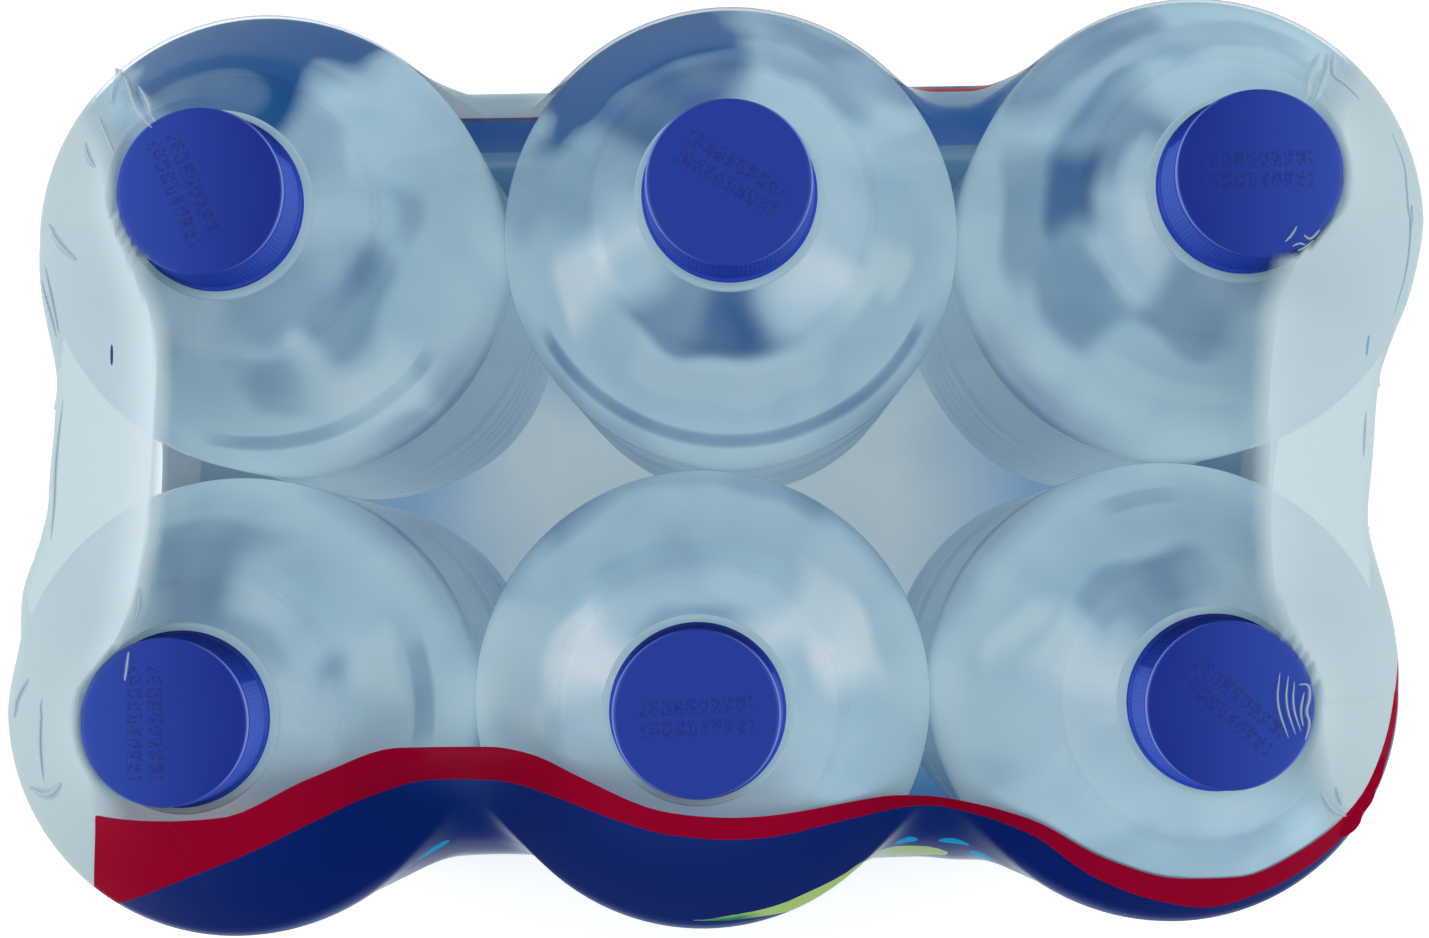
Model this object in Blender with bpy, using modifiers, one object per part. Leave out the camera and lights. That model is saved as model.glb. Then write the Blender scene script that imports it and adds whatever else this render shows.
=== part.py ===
"""A shrink-wrapped pack of six 1.5-litre bottles of clear drink, two rows of three.

Each bottle is a turned shell, open at its mouth, with its drink as a solid up to the fill level and its own
screw cap. One sleeve of shrink film holds the six together: it runs under the pack, up the long sides and
over the caps, and its two ends have shrunk to the oval openings that such a sleeve leaves.

Metres, +Z up. +X runs along the rows and -Y is the front. The origin is the middle of the underside.
"""

import math

import bmesh
import bpy

# Layout of the pack
COLUMNS = 3
PITCH = 0.090
ROW_SHIFT = 0.007
STEPS = 24

# Film sleeve
FILM = 0.0005
GAP = 0.0003
CAP_TOP = 0.3150
FILM_TOP = CAP_TOP + GAP + FILM
FILM_BODY_RADIUS = 0.0454
FILM_RIM_RADIUS = 0.0190
FILM_SHOULDER_RADIUS = 0.0441
FILM_SHOULDER_HEIGHT = 0.2330
FILM_RIDGE_HEIGHT = 0.3035
INNER_SLOPE = 0.40
OUTER_SLOPE = (FILM_TOP - FILM_SHOULDER_HEIGHT) / (FILM_SHOULDER_RADIUS - FILM_RIM_RADIUS)
BLEND = 0.004
SLOPE_BLEND = 0.012

# How far the film stands out from the line of bottle axes, where it crosses the gap between two bottles:
# (height, distance) on the long sides and on the short ends.
SIDE_SHEET = (
    (FILM_RIDGE_HEIGHT, 0.0),
    (0.285, 0.0065),
    (0.270, 0.0100),
    (0.240, 0.0185),
    (0.205, 0.0310),
    (0.170, 0.0370),
    (0.100, 0.0420),
    (0.050, 0.0450),
)
END_SHEET = (
    (FILM_RIDGE_HEIGHT, 0.0),
    (0.290, 0.0130),
    (0.270, 0.0240),
    (0.250, 0.0330),
    (0.233, 0.0388),
    (0.205, 0.0435),
    (0.170, 0.0450),
)
# (height, film radius round a bottle) down the wall, from under the shoulder to the underside
FILM_WALL = (
    (0.205, FILM_BODY_RADIUS),
    (0.170, FILM_BODY_RADIUS),
    (0.100, FILM_BODY_RADIUS),
    (0.018, FILM_BODY_RADIUS),
    (0.005, FILM_BODY_RADIUS - 0.0022),
    (0.0, FILM_BODY_RADIUS - 0.0078),
)
END_OPENING_HEIGHT = 0.150
END_OPENING_HALF_HEIGHT = 0.075
END_OPENING_HALF_WIDTH = 0.044
END_OPENING_SIDES = 24
END_CUTTER_DEPTH = 0.050

# Grid of the film: places between two bottle axes, across the pack, and outward from the axes
ALONG = (0.0, 0.008, 0.016, 0.026, 0.036, 0.045, 0.054, 0.064, 0.074, 0.082)
ACROSS = (0.0, 0.008, 0.016, 0.028, 0.045, 0.062, 0.074, 0.082, 0.090)
OUTWARD = (0.18, 0.36, 0.68, 1.0)
CORNER_STEPS = STEPS // 4

# Bottle
BASE = FILM + GAP
BODY_RADIUS = 0.0443
WALL = 0.0008
DOME_FOOT = 0.205
DOME_HEIGHT = 0.083
DOME_REACH = 0.0358
DOME_POWER = 1.8
DOME_LEVELS = (0.280, 0.268, 0.250, 0.230, DOME_FOOT)
LIP = 0.3132
FINISH_RADIUS = 0.0132
BORE_RADIUS = 0.0109
RING_RADIUS = 0.0168
RING_HEIGHT = 0.2944
NECK_RADIUS = 0.0140
FOOT_RADIUS = 0.0360
FOOT_INNER_RADIUS = 0.0300
HEEL_HEIGHT = 0.018
PUSH_UP = 0.007

# Drink, whose level is just below the neck
DRINK_CLEARANCE = 0.0005
DRINK_STEPS = STEPS // 2

# Cap
CAP_BOTTOM = 0.2960
CAP_BAND_TOP = 0.2985
CAP_DISC_RADIUS = 0.0139
CAP_RIM_RADIUS = 0.0146
CAP_SKIRT_RADIUS = 0.0149
CAP_BAND_RADIUS = 0.0154
CAP_BORE_RADIUS = 0.0137
CAP_CEILING = LIP + GAP

MERGE = 0.00001


def clear_scene():
    for obj in list(bpy.data.objects):
        bpy.data.objects.remove(obj, do_unlink=True)


def new_collection(name):
    collection = bpy.data.collections.new(name)
    bpy.context.scene.collection.children.link(collection)
    return collection


def new_material(name, colour, roughness, transmission=0.0, ior=1.45):
    material = bpy.data.materials.new(name)
    material.use_nodes = True
    shader = material.node_tree.nodes["Principled BSDF"]
    shader.inputs["Base Color"].default_value = (*colour, 1.0)
    shader.inputs["Roughness"].default_value = roughness
    shader.inputs["Metallic"].default_value = 0.0
    shader.inputs["Transmission Weight"].default_value = transmission
    shader.inputs["IOR"].default_value = ior
    return material


def bottle_places():
    """The axis of each bottle, front row first and left to right."""
    places = []
    for side in (-1, 1):
        for column in range(COLUMNS):
            x = (column - (COLUMNS - 1) / 2) * PITCH + side * ROW_SHIFT / 2
            places.append((x, side * PITCH / 2))
    return places


def profile_mesh(name, profile):
    mesh = bpy.data.meshes.new(name)
    points = [(radius, 0.0, height) for radius, height in profile]
    mesh.from_pydata(points, [(i, i + 1) for i in range(len(points) - 1)], [])
    return mesh


def turned(name, mesh, steps, place, material, collection, parent):
    """One copy of a turned piece, standing on the axis at place."""
    obj = bpy.data.objects.new(name, mesh)
    collection.objects.link(obj)
    obj.location = (place[0], place[1], 0.0)
    obj.parent = parent
    screw = obj.modifiers.new("Screw", "SCREW")
    screw.steps = steps
    screw.render_steps = steps
    screw.use_merge_vertices = True
    screw.merge_threshold = MERGE
    screw.use_smooth_shade = True
    if not mesh.materials:
        mesh.materials.append(material)
    return obj


def dome_radius(height):
    """Outer radius of the bottle's shoulder, a long dome from the body up to the neck."""
    share = (height - DOME_FOOT) / DOME_HEIGHT
    reach = (1.0 - share**DOME_POWER) ** (1.0 / DOME_POWER)
    return BODY_RADIUS - DOME_REACH * (1.0 - reach)


def inner_dome(clearance, levels):
    """Points inside the shoulder, moved in and down by the clearance, from the bottom up."""
    return [(dome_radius(level) - clearance, level - clearance) for level in reversed(levels)]


def bottle_profile():
    """From the middle of the floor up the inside, over the lip and down the outside."""
    inside = [
        (0.0, BASE + PUSH_UP + 2 * WALL),
        (FOOT_RADIUS - 2 * WALL, BASE + 2 * WALL),
        (BODY_RADIUS - 4 * WALL, HEEL_HEIGHT / 2),
        (BODY_RADIUS - WALL, HEEL_HEIGHT + WALL),
    ]
    inside += inner_dome(WALL, (DOME_LEVELS[0], DOME_LEVELS[2], DOME_LEVELS[4]))
    inside += [(BORE_RADIUS, DOME_LEVELS[0] + 8 * WALL), (BORE_RADIUS, LIP)]
    outside = [
        (FINISH_RADIUS, LIP),
        (FINISH_RADIUS, RING_HEIGHT + WALL),
        (RING_RADIUS, RING_HEIGHT),
        (NECK_RADIUS, RING_HEIGHT - 2 * WALL),
        (NECK_RADIUS, DOME_FOOT + DOME_HEIGHT),
    ]
    outside += [(dome_radius(level), level) for level in DOME_LEVELS]
    outside += [
        (BODY_RADIUS, HEEL_HEIGHT),
        (BODY_RADIUS - 3 * WALL, HEEL_HEIGHT / 3),
        (FOOT_RADIUS, BASE),
        (FOOT_INNER_RADIUS, BASE),
        (0.0, BASE + PUSH_UP),
    ]
    return inside + outside


def drink_profile():
    """From the level down the side to the floor of the bottle."""
    inset = WALL + DRINK_CLEARANCE
    side = inner_dome(inset, (DOME_LEVELS[0], DOME_LEVELS[2], DOME_LEVELS[4]))
    side.reverse()
    return [
        (0.0, side[0][1]),
        *side,
        (BODY_RADIUS - inset, HEEL_HEIGHT + 2 * inset),
        (FOOT_RADIUS - 2 * inset, BASE + 2 * WALL + 2 * inset),
        (0.0, BASE + PUSH_UP + 2 * WALL + inset),
    ]


def cap_profile():
    """From the middle of the top disc down the skirt and up inside."""
    return [
        (0.0, CAP_TOP),
        (CAP_DISC_RADIUS, CAP_TOP),
        (CAP_RIM_RADIUS, CAP_TOP - WALL),
        (CAP_SKIRT_RADIUS, CAP_BAND_TOP),
        (CAP_BAND_RADIUS, CAP_BAND_TOP),
        (CAP_BAND_RADIUS, CAP_BOTTOM),
        (CAP_BORE_RADIUS, CAP_BOTTOM),
        (CAP_BORE_RADIUS, CAP_CEILING),
        (0.0, CAP_CEILING),
    ]


def between(pairs, value):
    """Straight-line reading of (x, y) pairs whose x falls."""
    if value >= pairs[0][0]:
        return pairs[0][1]
    for (x0, y0), (x1, y1) in zip(pairs, pairs[1:]):
        if value >= x1:
            return y0 + (y1 - y0) * (value - x0) / (x1 - x0)
    return pairs[-1][1]


def smooth_max(a, b, blend):
    return (a + b + math.hypot(a - b, blend)) / 2


def sheet_height(sheet, distance):
    """Height at which the film of a gap stands this far out."""
    rising = [(-reach, height) for height, reach in sheet]
    return between(rising, -distance)


def film_reach(height, radius, offset, sheet):
    """How far out the film stands: round the bottle, or as a sheet across the gap beside it."""
    round_bottle = math.sqrt(max(radius**2 - offset**2, 0.0))
    across_gap = min(between(sheet, height), radius - FILM / 2)
    return smooth_max(round_bottle, across_gap, min(BLEND, (radius - across_gap) * 0.3))


class Spoke:
    """One line outward from the frame of bottle axes, along which the film is laid down the wall."""

    def __init__(self, start, direction, offset, sheet):
        self.start = start
        self.direction = direction
        self.offset = offset
        self.sheet = sheet

    def reach(self, height, radius):
        if self.sheet is None:
            return radius
        return film_reach(height, radius, self.offset, self.sheet)

    def point(self, distance, height):
        x = self.start[0] + self.direction[0] * distance
        y = self.start[1] + self.direction[1] * distance
        return (x, y, height)


def row_positions(side):
    """Places along one row of bottle axes, from its first bottle to its last."""
    first = -(COLUMNS - 1) / 2 * PITCH + side * ROW_SHIFT / 2
    places = [first + column * PITCH + step for column in range(COLUMNS - 1) for step in ALONG]
    return places + [first + (COLUMNS - 1) * PITCH]


def axis_frame():
    """The film's nodes inside the frame of bottle axes, as rows from front to back."""
    front = row_positions(-1)
    back = row_positions(1)
    rows = []
    for step in ACROSS:
        share = step / PITCH
        rows.append([(a + (b - a) * share, step - PITCH / 2) for a, b in zip(front, back)])
    return rows


def outward_spokes(rows):
    """Every spoke in order round the pack, with a fan of them at each corner bottle."""
    first, last = rows[0], rows[-1]
    ends = [(last[-1], 0), (last[0], 90), (first[0], 180), (first[-1], 270)]
    right = [row[-1] for row in rows]
    left = [row[0] for row in rows]
    sides = [(last[::-1], 90), (left[::-1], 180), (first, 270), (right, 0)]
    spokes = []
    for (corner, start_angle), (side, angle) in zip(ends, sides):
        for step in range(CORNER_STEPS):
            turn = math.radians(start_angle + 90 * step / CORNER_STEPS)
            spokes.append(Spoke(corner, (math.cos(turn), math.sin(turn)), 0.0, None))
        along_row = angle in (90, 270)
        turn = math.radians(angle)
        direction = (round(math.cos(turn)), round(math.sin(turn)))
        for start in side[:-1]:
            run = abs(start[0] - side[0][0]) if along_row else abs(start[1] - side[0][1])
            offset = abs((run + PITCH / 2) % PITCH - PITCH / 2)
            spokes.append(Spoke(start, direction, offset, SIDE_SHEET if along_row else END_SHEET))
    return spokes


def nearest_axis(point):
    return min(math.dist(point, place) for place in bottle_places())


def inner_height(point):
    """Film height between the caps, where it hangs a little between their tops."""
    tent = FILM_TOP - INNER_SLOPE * max(nearest_axis(point) - FILM_RIM_RADIUS, 0.0)
    return min(smooth_max(tent, FILM_RIDGE_HEIGHT, BLEND), FILM_TOP)


def outer_height(spoke, distance):
    """Film height outside the line of axes, where it runs down from the caps to the shoulders."""
    point = spoke.point(distance, 0.0)[:2]
    tent = FILM_TOP - OUTER_SLOPE * max(nearest_axis(point) - FILM_RIM_RADIUS, 0.0)
    if spoke.sheet is None:
        return tent
    across_gap = sheet_height(spoke.sheet, distance)
    return min(smooth_max(tent, across_gap, SLOPE_BLEND), FILM_TOP)


def add_quad(mesh, corners):
    """One quad as two triangles, split along the diagonal that lies further out."""
    corners = list(dict.fromkeys(corners))
    if len(corners) < 4:
        mesh.faces.new(corners)
        return
    a, b, c, d = corners
    middle_ac = (a.co + c.co) / 2
    middle_bd = (b.co + d.co) / 2
    outward = (b.co - a.co).cross(d.co - a.co)
    if (middle_ac - middle_bd).dot(outward) >= 0:
        mesh.faces.new((a, b, c))
        mesh.faces.new((a, c, d))
    else:
        mesh.faces.new((a, b, d))
        mesh.faces.new((b, c, d))


def film_surface():
    """The film's outer face as one closed skin: the roof grid, the walls and the flat underside."""
    mesh = bmesh.new()
    rows = axis_frame()
    roof = [[mesh.verts.new((*p, inner_height(p))) for p in row] for row in rows]
    for near, far in zip(roof, roof[1:]):
        for i in range(len(near) - 1):
            add_quad(mesh, (near[i], near[i + 1], far[i + 1], far[i]))
    spokes = outward_spokes(rows)
    corner_of = {p: roof[j][i] for j, row in enumerate(rows) for i, p in enumerate(row)}
    ring = [corner_of[spoke.start] for spoke in spokes]
    rings = [ring]
    for share in OUTWARD:
        ring = []
        for spoke in spokes:
            edge = spoke.reach(FILM_SHOULDER_HEIGHT, FILM_SHOULDER_RADIUS)
            height = outer_height(spoke, share * edge) if share < 1 else FILM_SHOULDER_HEIGHT
            ring.append(mesh.verts.new(spoke.point(share * edge, height)))
        rings.append(ring)
    for height, radius in FILM_WALL:
        ring = [mesh.verts.new(spoke.point(spoke.reach(height, radius), height)) for spoke in spokes]
        rings.append(ring)
    count = len(spokes)
    for upper, lower in zip(rings, rings[1:]):
        for i in range(count):
            j = (i + 1) % count
            add_quad(mesh, (upper[i], lower[i], lower[j], upper[j]))
    mesh.faces.new(rings[-1][::-1])
    mesh.normal_update()
    return mesh


def end_cutter(side, collection):
    """An oval block that opens one end of the sleeve."""
    reach = PITCH + FILM_BODY_RADIUS
    bpy.ops.mesh.primitive_cylinder_add(
        vertices=END_OPENING_SIDES,
        radius=1.0,
        depth=END_CUTTER_DEPTH,
        location=(side * reach, 0.0, END_OPENING_HEIGHT),
        rotation=(0.0, math.pi / 2, 0.0),
    )
    cutter = bpy.context.object
    cutter.name = "end_opening_cutter"
    cutter.scale = (END_OPENING_HALF_HEIGHT, END_OPENING_HALF_WIDTH, 1.0)
    cutter.hide_render = True
    cutter.display_type = "WIRE"
    for owner in list(cutter.users_collection):
        owner.objects.unlink(cutter)
    collection.objects.link(cutter)
    return cutter


def make_film(parts, cutters, parent):
    surface = film_surface()
    mesh = bpy.data.meshes.new("film_wrap")
    surface.to_mesh(mesh)
    surface.free()
    film = bpy.data.objects.new("film_wrap", mesh)
    parts.objects.link(film)
    film.parent = parent
    mesh.materials.append(new_material("film", (0.80, 0.87, 0.90), 0.20, 0.9, 1.50))
    solidify = film.modifiers.new("Solidify", "SOLIDIFY")
    solidify.thickness = FILM
    solidify.offset = -1.0
    for side in (-1, 1):
        cut = film.modifiers.new("End opening", "BOOLEAN")
        cut.operation = "DIFFERENCE"
        cut.solver = "EXACT"
        cut.object = end_cutter(side, cutters)
    return film


def make_bottles(parts, parent):
    bottle_material = new_material("bottle", (0.72, 0.85, 0.88), 0.08, 0.9, 1.57)
    drink_material = new_material("drink", (0.80, 0.92, 0.97), 0.02, 0.9, 1.33)
    cap_material = new_material("cap", (0.012, 0.036, 0.325), 0.35)
    bottle_mesh = profile_mesh("bottle", bottle_profile())
    drink_mesh = profile_mesh("drink", drink_profile())
    cap_mesh = profile_mesh("cap", cap_profile())
    for number, place in enumerate(bottle_places(), start=1):
        turned(f"bottle_{number}", bottle_mesh, STEPS, place, bottle_material, parts, parent)
        turned(f"drink_{number}", drink_mesh, DRINK_STEPS, place, drink_material, parts, parent)
        turned(f"cap_{number}", cap_mesh, STEPS, place, cap_material, parts, parent)


def main():
    clear_scene()
    parts = new_collection("drink_pack")
    cutters = new_collection("cutters")
    pack = bpy.data.objects.new("pack", None)
    parts.objects.link(pack)
    make_bottles(parts, pack)
    make_film(parts, cutters, pack)


main()
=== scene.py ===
"""The looks of a shrink-wrapped six-pack of clear drink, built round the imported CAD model.

Metres, +Z up. +X runs along the rows and -Y is the front, where the printed band of the film shows.
"""

import math

import bpy
import numpy as np
from mathutils import Matrix, Vector, noise
from mathutils.bvhtree import BVHTree


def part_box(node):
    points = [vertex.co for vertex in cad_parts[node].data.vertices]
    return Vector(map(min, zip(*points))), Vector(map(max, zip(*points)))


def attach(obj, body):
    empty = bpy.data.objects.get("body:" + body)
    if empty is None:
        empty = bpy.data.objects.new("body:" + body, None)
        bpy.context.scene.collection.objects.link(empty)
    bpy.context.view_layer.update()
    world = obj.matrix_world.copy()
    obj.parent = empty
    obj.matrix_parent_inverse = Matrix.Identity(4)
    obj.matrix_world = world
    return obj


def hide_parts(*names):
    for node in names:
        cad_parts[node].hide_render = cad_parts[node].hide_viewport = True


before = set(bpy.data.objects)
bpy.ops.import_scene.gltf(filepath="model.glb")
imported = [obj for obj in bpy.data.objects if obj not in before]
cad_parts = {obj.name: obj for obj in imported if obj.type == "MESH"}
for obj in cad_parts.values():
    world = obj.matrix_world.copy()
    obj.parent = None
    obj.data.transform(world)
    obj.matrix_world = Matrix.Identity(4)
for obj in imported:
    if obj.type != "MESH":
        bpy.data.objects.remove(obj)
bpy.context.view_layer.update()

# Layout, as in the CAD
COLUMNS = 3
PITCH = 0.090
ROW_SHIFT = 0.007
FILM_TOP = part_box("film_wrap")[1].z
CAP_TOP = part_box("cap_1")[1].z
CAP_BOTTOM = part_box("cap_1")[0].z
BOTTLE_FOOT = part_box("bottle_1")[0].z
BOTTLE_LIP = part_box("bottle_1")[1].z
DRINK_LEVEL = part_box("drink_1")[1].z

# The film's cone over each bottle, from the cap's rim to the shoulder
SHEET_TOP = FILM_TOP - 0.0003
FILM_RIM_RADIUS = 0.0153
FILM_SHOULDER_RADIUS = 0.0441
FILM_SHOULDER_HEIGHT = 0.2330
OUTER_SLOPE = (SHEET_TOP - FILM_SHOULDER_HEIGHT) / (FILM_SHOULDER_RADIUS - FILM_RIM_RADIUS)
FILM_GAP = 0.0004

# Camera, fitted to the cap circles and the outline of the pack in the photograph
PHOTO_WIDTH = 1429
FOCAL_PIXELS = 3400
SENSOR_WIDTH = 36.0
CAMERA_PLACE = (0.0045, -0.0246, 0.8897)
CAMERA_TILT = math.radians(2.08)
CAMERA_SIDE_TILT = math.radians(-0.46)
CAMERA_ROLL = math.radians(0.94)

# Drink. The deep blue and the white are painted: the blue paints the print that the drink bends and the shade between
# the bottles, the white paints the light that it bends
DRINK_TINT = (0.72, 0.88, 0.97)
DRINK_MILK = (0.55, 0.71, 0.80)
DRINK_PAINTED_BLUE = (0.0, 0.088, 0.285)
DRINK_PAINTED_WHITE = (0.96, 0.97, 0.98)

# Printing inks, and the plain shapes on the navy field, placed round and down the sleeve. With them stand the film's
# haze and underside tints and colours of painted light: a painted shade, a painted highlight for the haze crests and
# painted sheens on the navy
RED_INK = (0.33, 0.0006, 0.022)
NAVY_INK = (0.0006, 0.009, 0.122)
NAVY_GLOW = (0.03, 0.18, 0.72)
BACK_NAVY = (0.026, 0.068, 0.230)
BACK_BLUE = (0.12, 0.24, 0.48)
BACK_SKY = (0.19, 0.40, 0.74)
# Painted shade in the haze, in the back valleys and beside the folds
SHADE = (0.19, 0.34, 0.43)
SKY_INK = (0.010, 0.35, 0.66)
HAZE = (0.485, 0.575, 0.610)
# Painted highlight along the haze's crest at each end
CREST_HIGHLIGHT = (0.67, 0.75, 0.79)
UNDER_PALE = (0.59, 0.69, 0.71)
UNDER_BLUE = (0.17, 0.37, 0.60)
UNDER_NAVY = (0.06, 0.21, 0.46)
GREEN_INK = (0.45, 0.62, 0.18)
LEAF_INK = (0.01, 0.25, 0.08)
OVALS = (
    ((-0.0540, 0.1000), 0.0030, 0.0034),
    ((0.0400, 0.1040), 0.0024, 0.0034),
    ((0.0496, 0.1050), 0.0030, 0.0030),
    ((0.0556, 0.1165), 0.0023, 0.0065),
)
# Painted sheens on the navy: near the front shoulders, and where the front print is seen edge on in the valleys
SHEEN = (0.22, 0.28, 0.50)
VALLEY_SHEEN = (0.50, 0.57, 0.66)

# Light
SIDE_GLOW = 0.7
TOP_GLOW = 0.60
FLOOR_GLOW = 0.5
BOX_POWER = 5.0


# Shapes

def bottle_places():
    """The axis of each bottle, front row first and left to right."""
    places = []
    for side in (-1, 1):
        for column in range(COLUMNS):
            x = (column - (COLUMNS - 1) / 2) * PITCH + side * ROW_SHIFT / 2
            places.append((x, side * PITCH / 2))
    return places


def new_piece(name, points, faces, material, smooth=True):
    mesh = bpy.data.meshes.new(name)
    mesh.from_pydata([tuple(p) for p in points], [], [tuple(f) for f in faces])
    mesh.validate()
    mesh.materials.append(material)
    if smooth:
        mesh.shade_smooth()
    obj = bpy.data.objects.new(name, mesh)
    bpy.context.scene.collection.objects.link(obj)
    return obj


def turned_points(profile, steps, shape=None):
    """Rings of points round Z for a (radius, height) profile, each moved by shape(radius, height, angle)."""
    profile = np.array(profile, float)
    angles = np.linspace(0.0, 2.0 * math.pi, steps, endpoint=False)
    radius = np.repeat(profile[:, :1], steps, axis=1)
    height = np.repeat(profile[:, 1:], steps, axis=1)
    angle = np.repeat(angles[None, :], len(profile), axis=0)
    if shape is not None:
        radius, height = shape(radius, height, angle)
    return np.stack([radius * np.cos(angle), radius * np.sin(angle), height], axis=-1)


def turned_mesh(profile, steps, shape=None):
    """Points and faces of a turned piece, closed where its profile starts or ends on the axis."""
    starts_closed, ends_closed = profile[0][0] == 0.0, profile[-1][0] == 0.0
    rings = turned_points(profile[starts_closed:len(profile) - ends_closed], steps, shape)
    count = len(rings)
    points = list(rings.reshape(-1, 3))
    at = np.arange(count * steps).reshape(count, steps)
    faces = []
    for i in range(steps):
        j = (i + 1) % steps
        faces.extend((at[k, i], at[k + 1, i], at[k + 1, j], at[k, j]) for k in range(count - 1))
    for closed, ring, height, turn in ((starts_closed, at[0], profile[0][1], 1), (ends_closed, at[-1], profile[-1][1], -1)):
        if closed:
            faces.extend((len(points), ring[i], ring[(i + 1) % steps])[::turn] for i in range(steps))
            points.append((0.0, 0.0, height))
    return points, faces


def spread(points, most):
    """A polyline with extra points so that no step is longer than most."""
    out = [points[0]]
    for a, b in zip(points, points[1:]):
        pieces = max(1, math.ceil(math.dist(a, b) / most))
        out.extend(tuple(np.array(a) + (np.array(b) - np.array(a)) * k / pieces) for k in range(1, pieces + 1))
    return out


def arc(centre, radius, start, end, steps):
    """Points of an arc in the profile plane, angles in degrees from +X towards +Z."""
    angles = np.radians(np.linspace(start, end, steps + 1))
    return [(centre[0] + radius * math.cos(a), centre[1] + radius * math.sin(a)) for a in angles]


# Cap

CAP_RIBS = 120
CAP_STEPS = CAP_RIBS * 4
CAP_SKIRT_TOP_RADIUS = 0.0144
CAP_SKIRT_RADIUS = 0.0149
CAP_BAND_RADIUS = 0.0154
CAP_BAND_TOP = 0.2985
CAP_RIM_ROUND = 0.0009
CAP_RIB_DEPTH = 0.00022
CAP_BORE_RADIUS = 0.0138
CAP_BLUE = (0.003, 0.017, 0.230)
# Painted light on the caps: a skirt colour painted lighter where the side lights catch it, a painted highlight for
# the rim, a lit colour for the top and a painted shade for the skirt
CAP_SKIRT_LIT_BLUE = (0.012, 0.050, 0.44)
CAP_RIM_HIGHLIGHT_BLUE = (0.26, 0.36, 0.90)
CAP_TOP_LIT_BLUE = (0.022, 0.058, 0.360)
CAP_SHADE_BLUE = (0.001, 0.006, 0.120)
DOT_PITCH = 0.00042
CAP_TURNS = (-90, 2, -42, -68, 148, 0)
CODE_SHIFTS = ((-3.2, 0.0), (0.0, -0.5), (0.4, 0.0), (-2.6, 0.4), (0.5, 1.5), (-0.6, 0.6))


def cap_profile():
    top = CAP_TOP
    rim = arc((CAP_SKIRT_TOP_RADIUS - CAP_RIM_ROUND, top - CAP_RIM_ROUND), CAP_RIM_ROUND, 90, 0, 6)
    skirt = spread([rim[-1], (CAP_SKIRT_RADIUS, CAP_BAND_TOP + 0.0006)], 0.0012)[1:]
    return [
        (0.0, top - 0.00004),
        (0.0008, top - 0.00004),
        (0.0016, top),
        (0.0060, top),
        (0.0120, top),
        *rim,
        *skirt,
        (CAP_SKIRT_RADIUS - 0.0003, CAP_BAND_TOP + 0.0003),
        (CAP_SKIRT_RADIUS - 0.0003, CAP_BAND_TOP),
        (CAP_BAND_RADIUS - 0.0002, CAP_BAND_TOP - 0.0001),
        (CAP_BAND_RADIUS, CAP_BAND_TOP - 0.0004),
        (CAP_BAND_RADIUS, CAP_BOTTOM + 0.0003),
        (CAP_BAND_RADIUS - 0.0003, CAP_BOTTOM),
        (CAP_BORE_RADIUS, CAP_BOTTOM),
        (CAP_BORE_RADIUS, BOTTLE_LIP + 0.0004),
        (0.0, BOTTLE_LIP + 0.0004),
    ]


def cap_ribs(radius, height, angle):
    """Fine upright ribs on the skirt, fading out at the rim and at the band."""
    low = np.clip((height - CAP_BAND_TOP - 0.0004) / 0.0006, 0.0, 1.0)
    high = np.clip((CAP_TOP - 0.0006 - height) / 0.0010, 0.0, 1.0)
    outer = (radius > CAP_BORE_RADIUS + 0.0002).astype(float)
    wave = 0.5 + 0.5 * np.cos(CAP_RIBS * angle)
    return radius - CAP_RIB_DEPTH * wave * low * high * outer, height


def cap_painted_light(points, turn, side):
    """Painted light on a cap at each point: a painted highlight where the side lights catch its rim and skirt, a top
    painted part way to its lit colour and lighter still towards the pack's end for the end caps, and painted shade on
    the skirt.
    """
    radius = np.hypot(points[:, 0], points[:, 1])
    angle = np.arctan2(points[:, 1], points[:, 0]) + turn
    on_rim = (points[:, 2] > CAP_TOP - 0.00060) & (points[:, 2] < CAP_TOP - 0.00020)
    on_skirt = (points[:, 2] < CAP_TOP - 0.0012) & (points[:, 2] > CAP_BAND_TOP + 0.0004)
    outer = radius > CAP_SKIRT_TOP_RADIUS - CAP_RIM_ROUND
    pale = outer * (0.80 * on_rim + 0.26 * on_skirt * (np.sin(angle) < 0.45)) * np.cos(angle) ** 2
    light = np.clip(0.40 + 0.60 * side * np.cos(angle) * radius / CAP_SKIRT_TOP_RADIUS, 0.0, 1.0)
    dark = outer * (points[:, 2] < CAP_TOP - 0.0007) * np.clip(np.sin(angle) * 1.6 - 0.5, 0.0, 0.85)
    return pale, light, dark


# Bottle and drink

BODY_RADIUS = 0.0446
WALL = 0.0003
DOME_FOOT = 0.222
DOME_HEIGHT = 0.066
DOME_REACH = 0.0362
DOME_POWER = 1.8
DOME_STEPS = 34
FINISH_RADIUS = 0.0132
BORE_RADIUS = 0.0109
RING_RADIUS = 0.0168
RING_HEIGHT = 0.2944
NECK_RADIUS = 0.0140
FOOT_RADIUS = 0.0360
BOTTLE_STEPS = 144
DRINK_STEPS = 144
BODY_MILK = (0.42, 0.72)
SHOULDER_MILK = 0.90
DEEP_FROM = 0.195
NECK_PALE = 0.10
RING_PALE = 0.50
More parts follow.
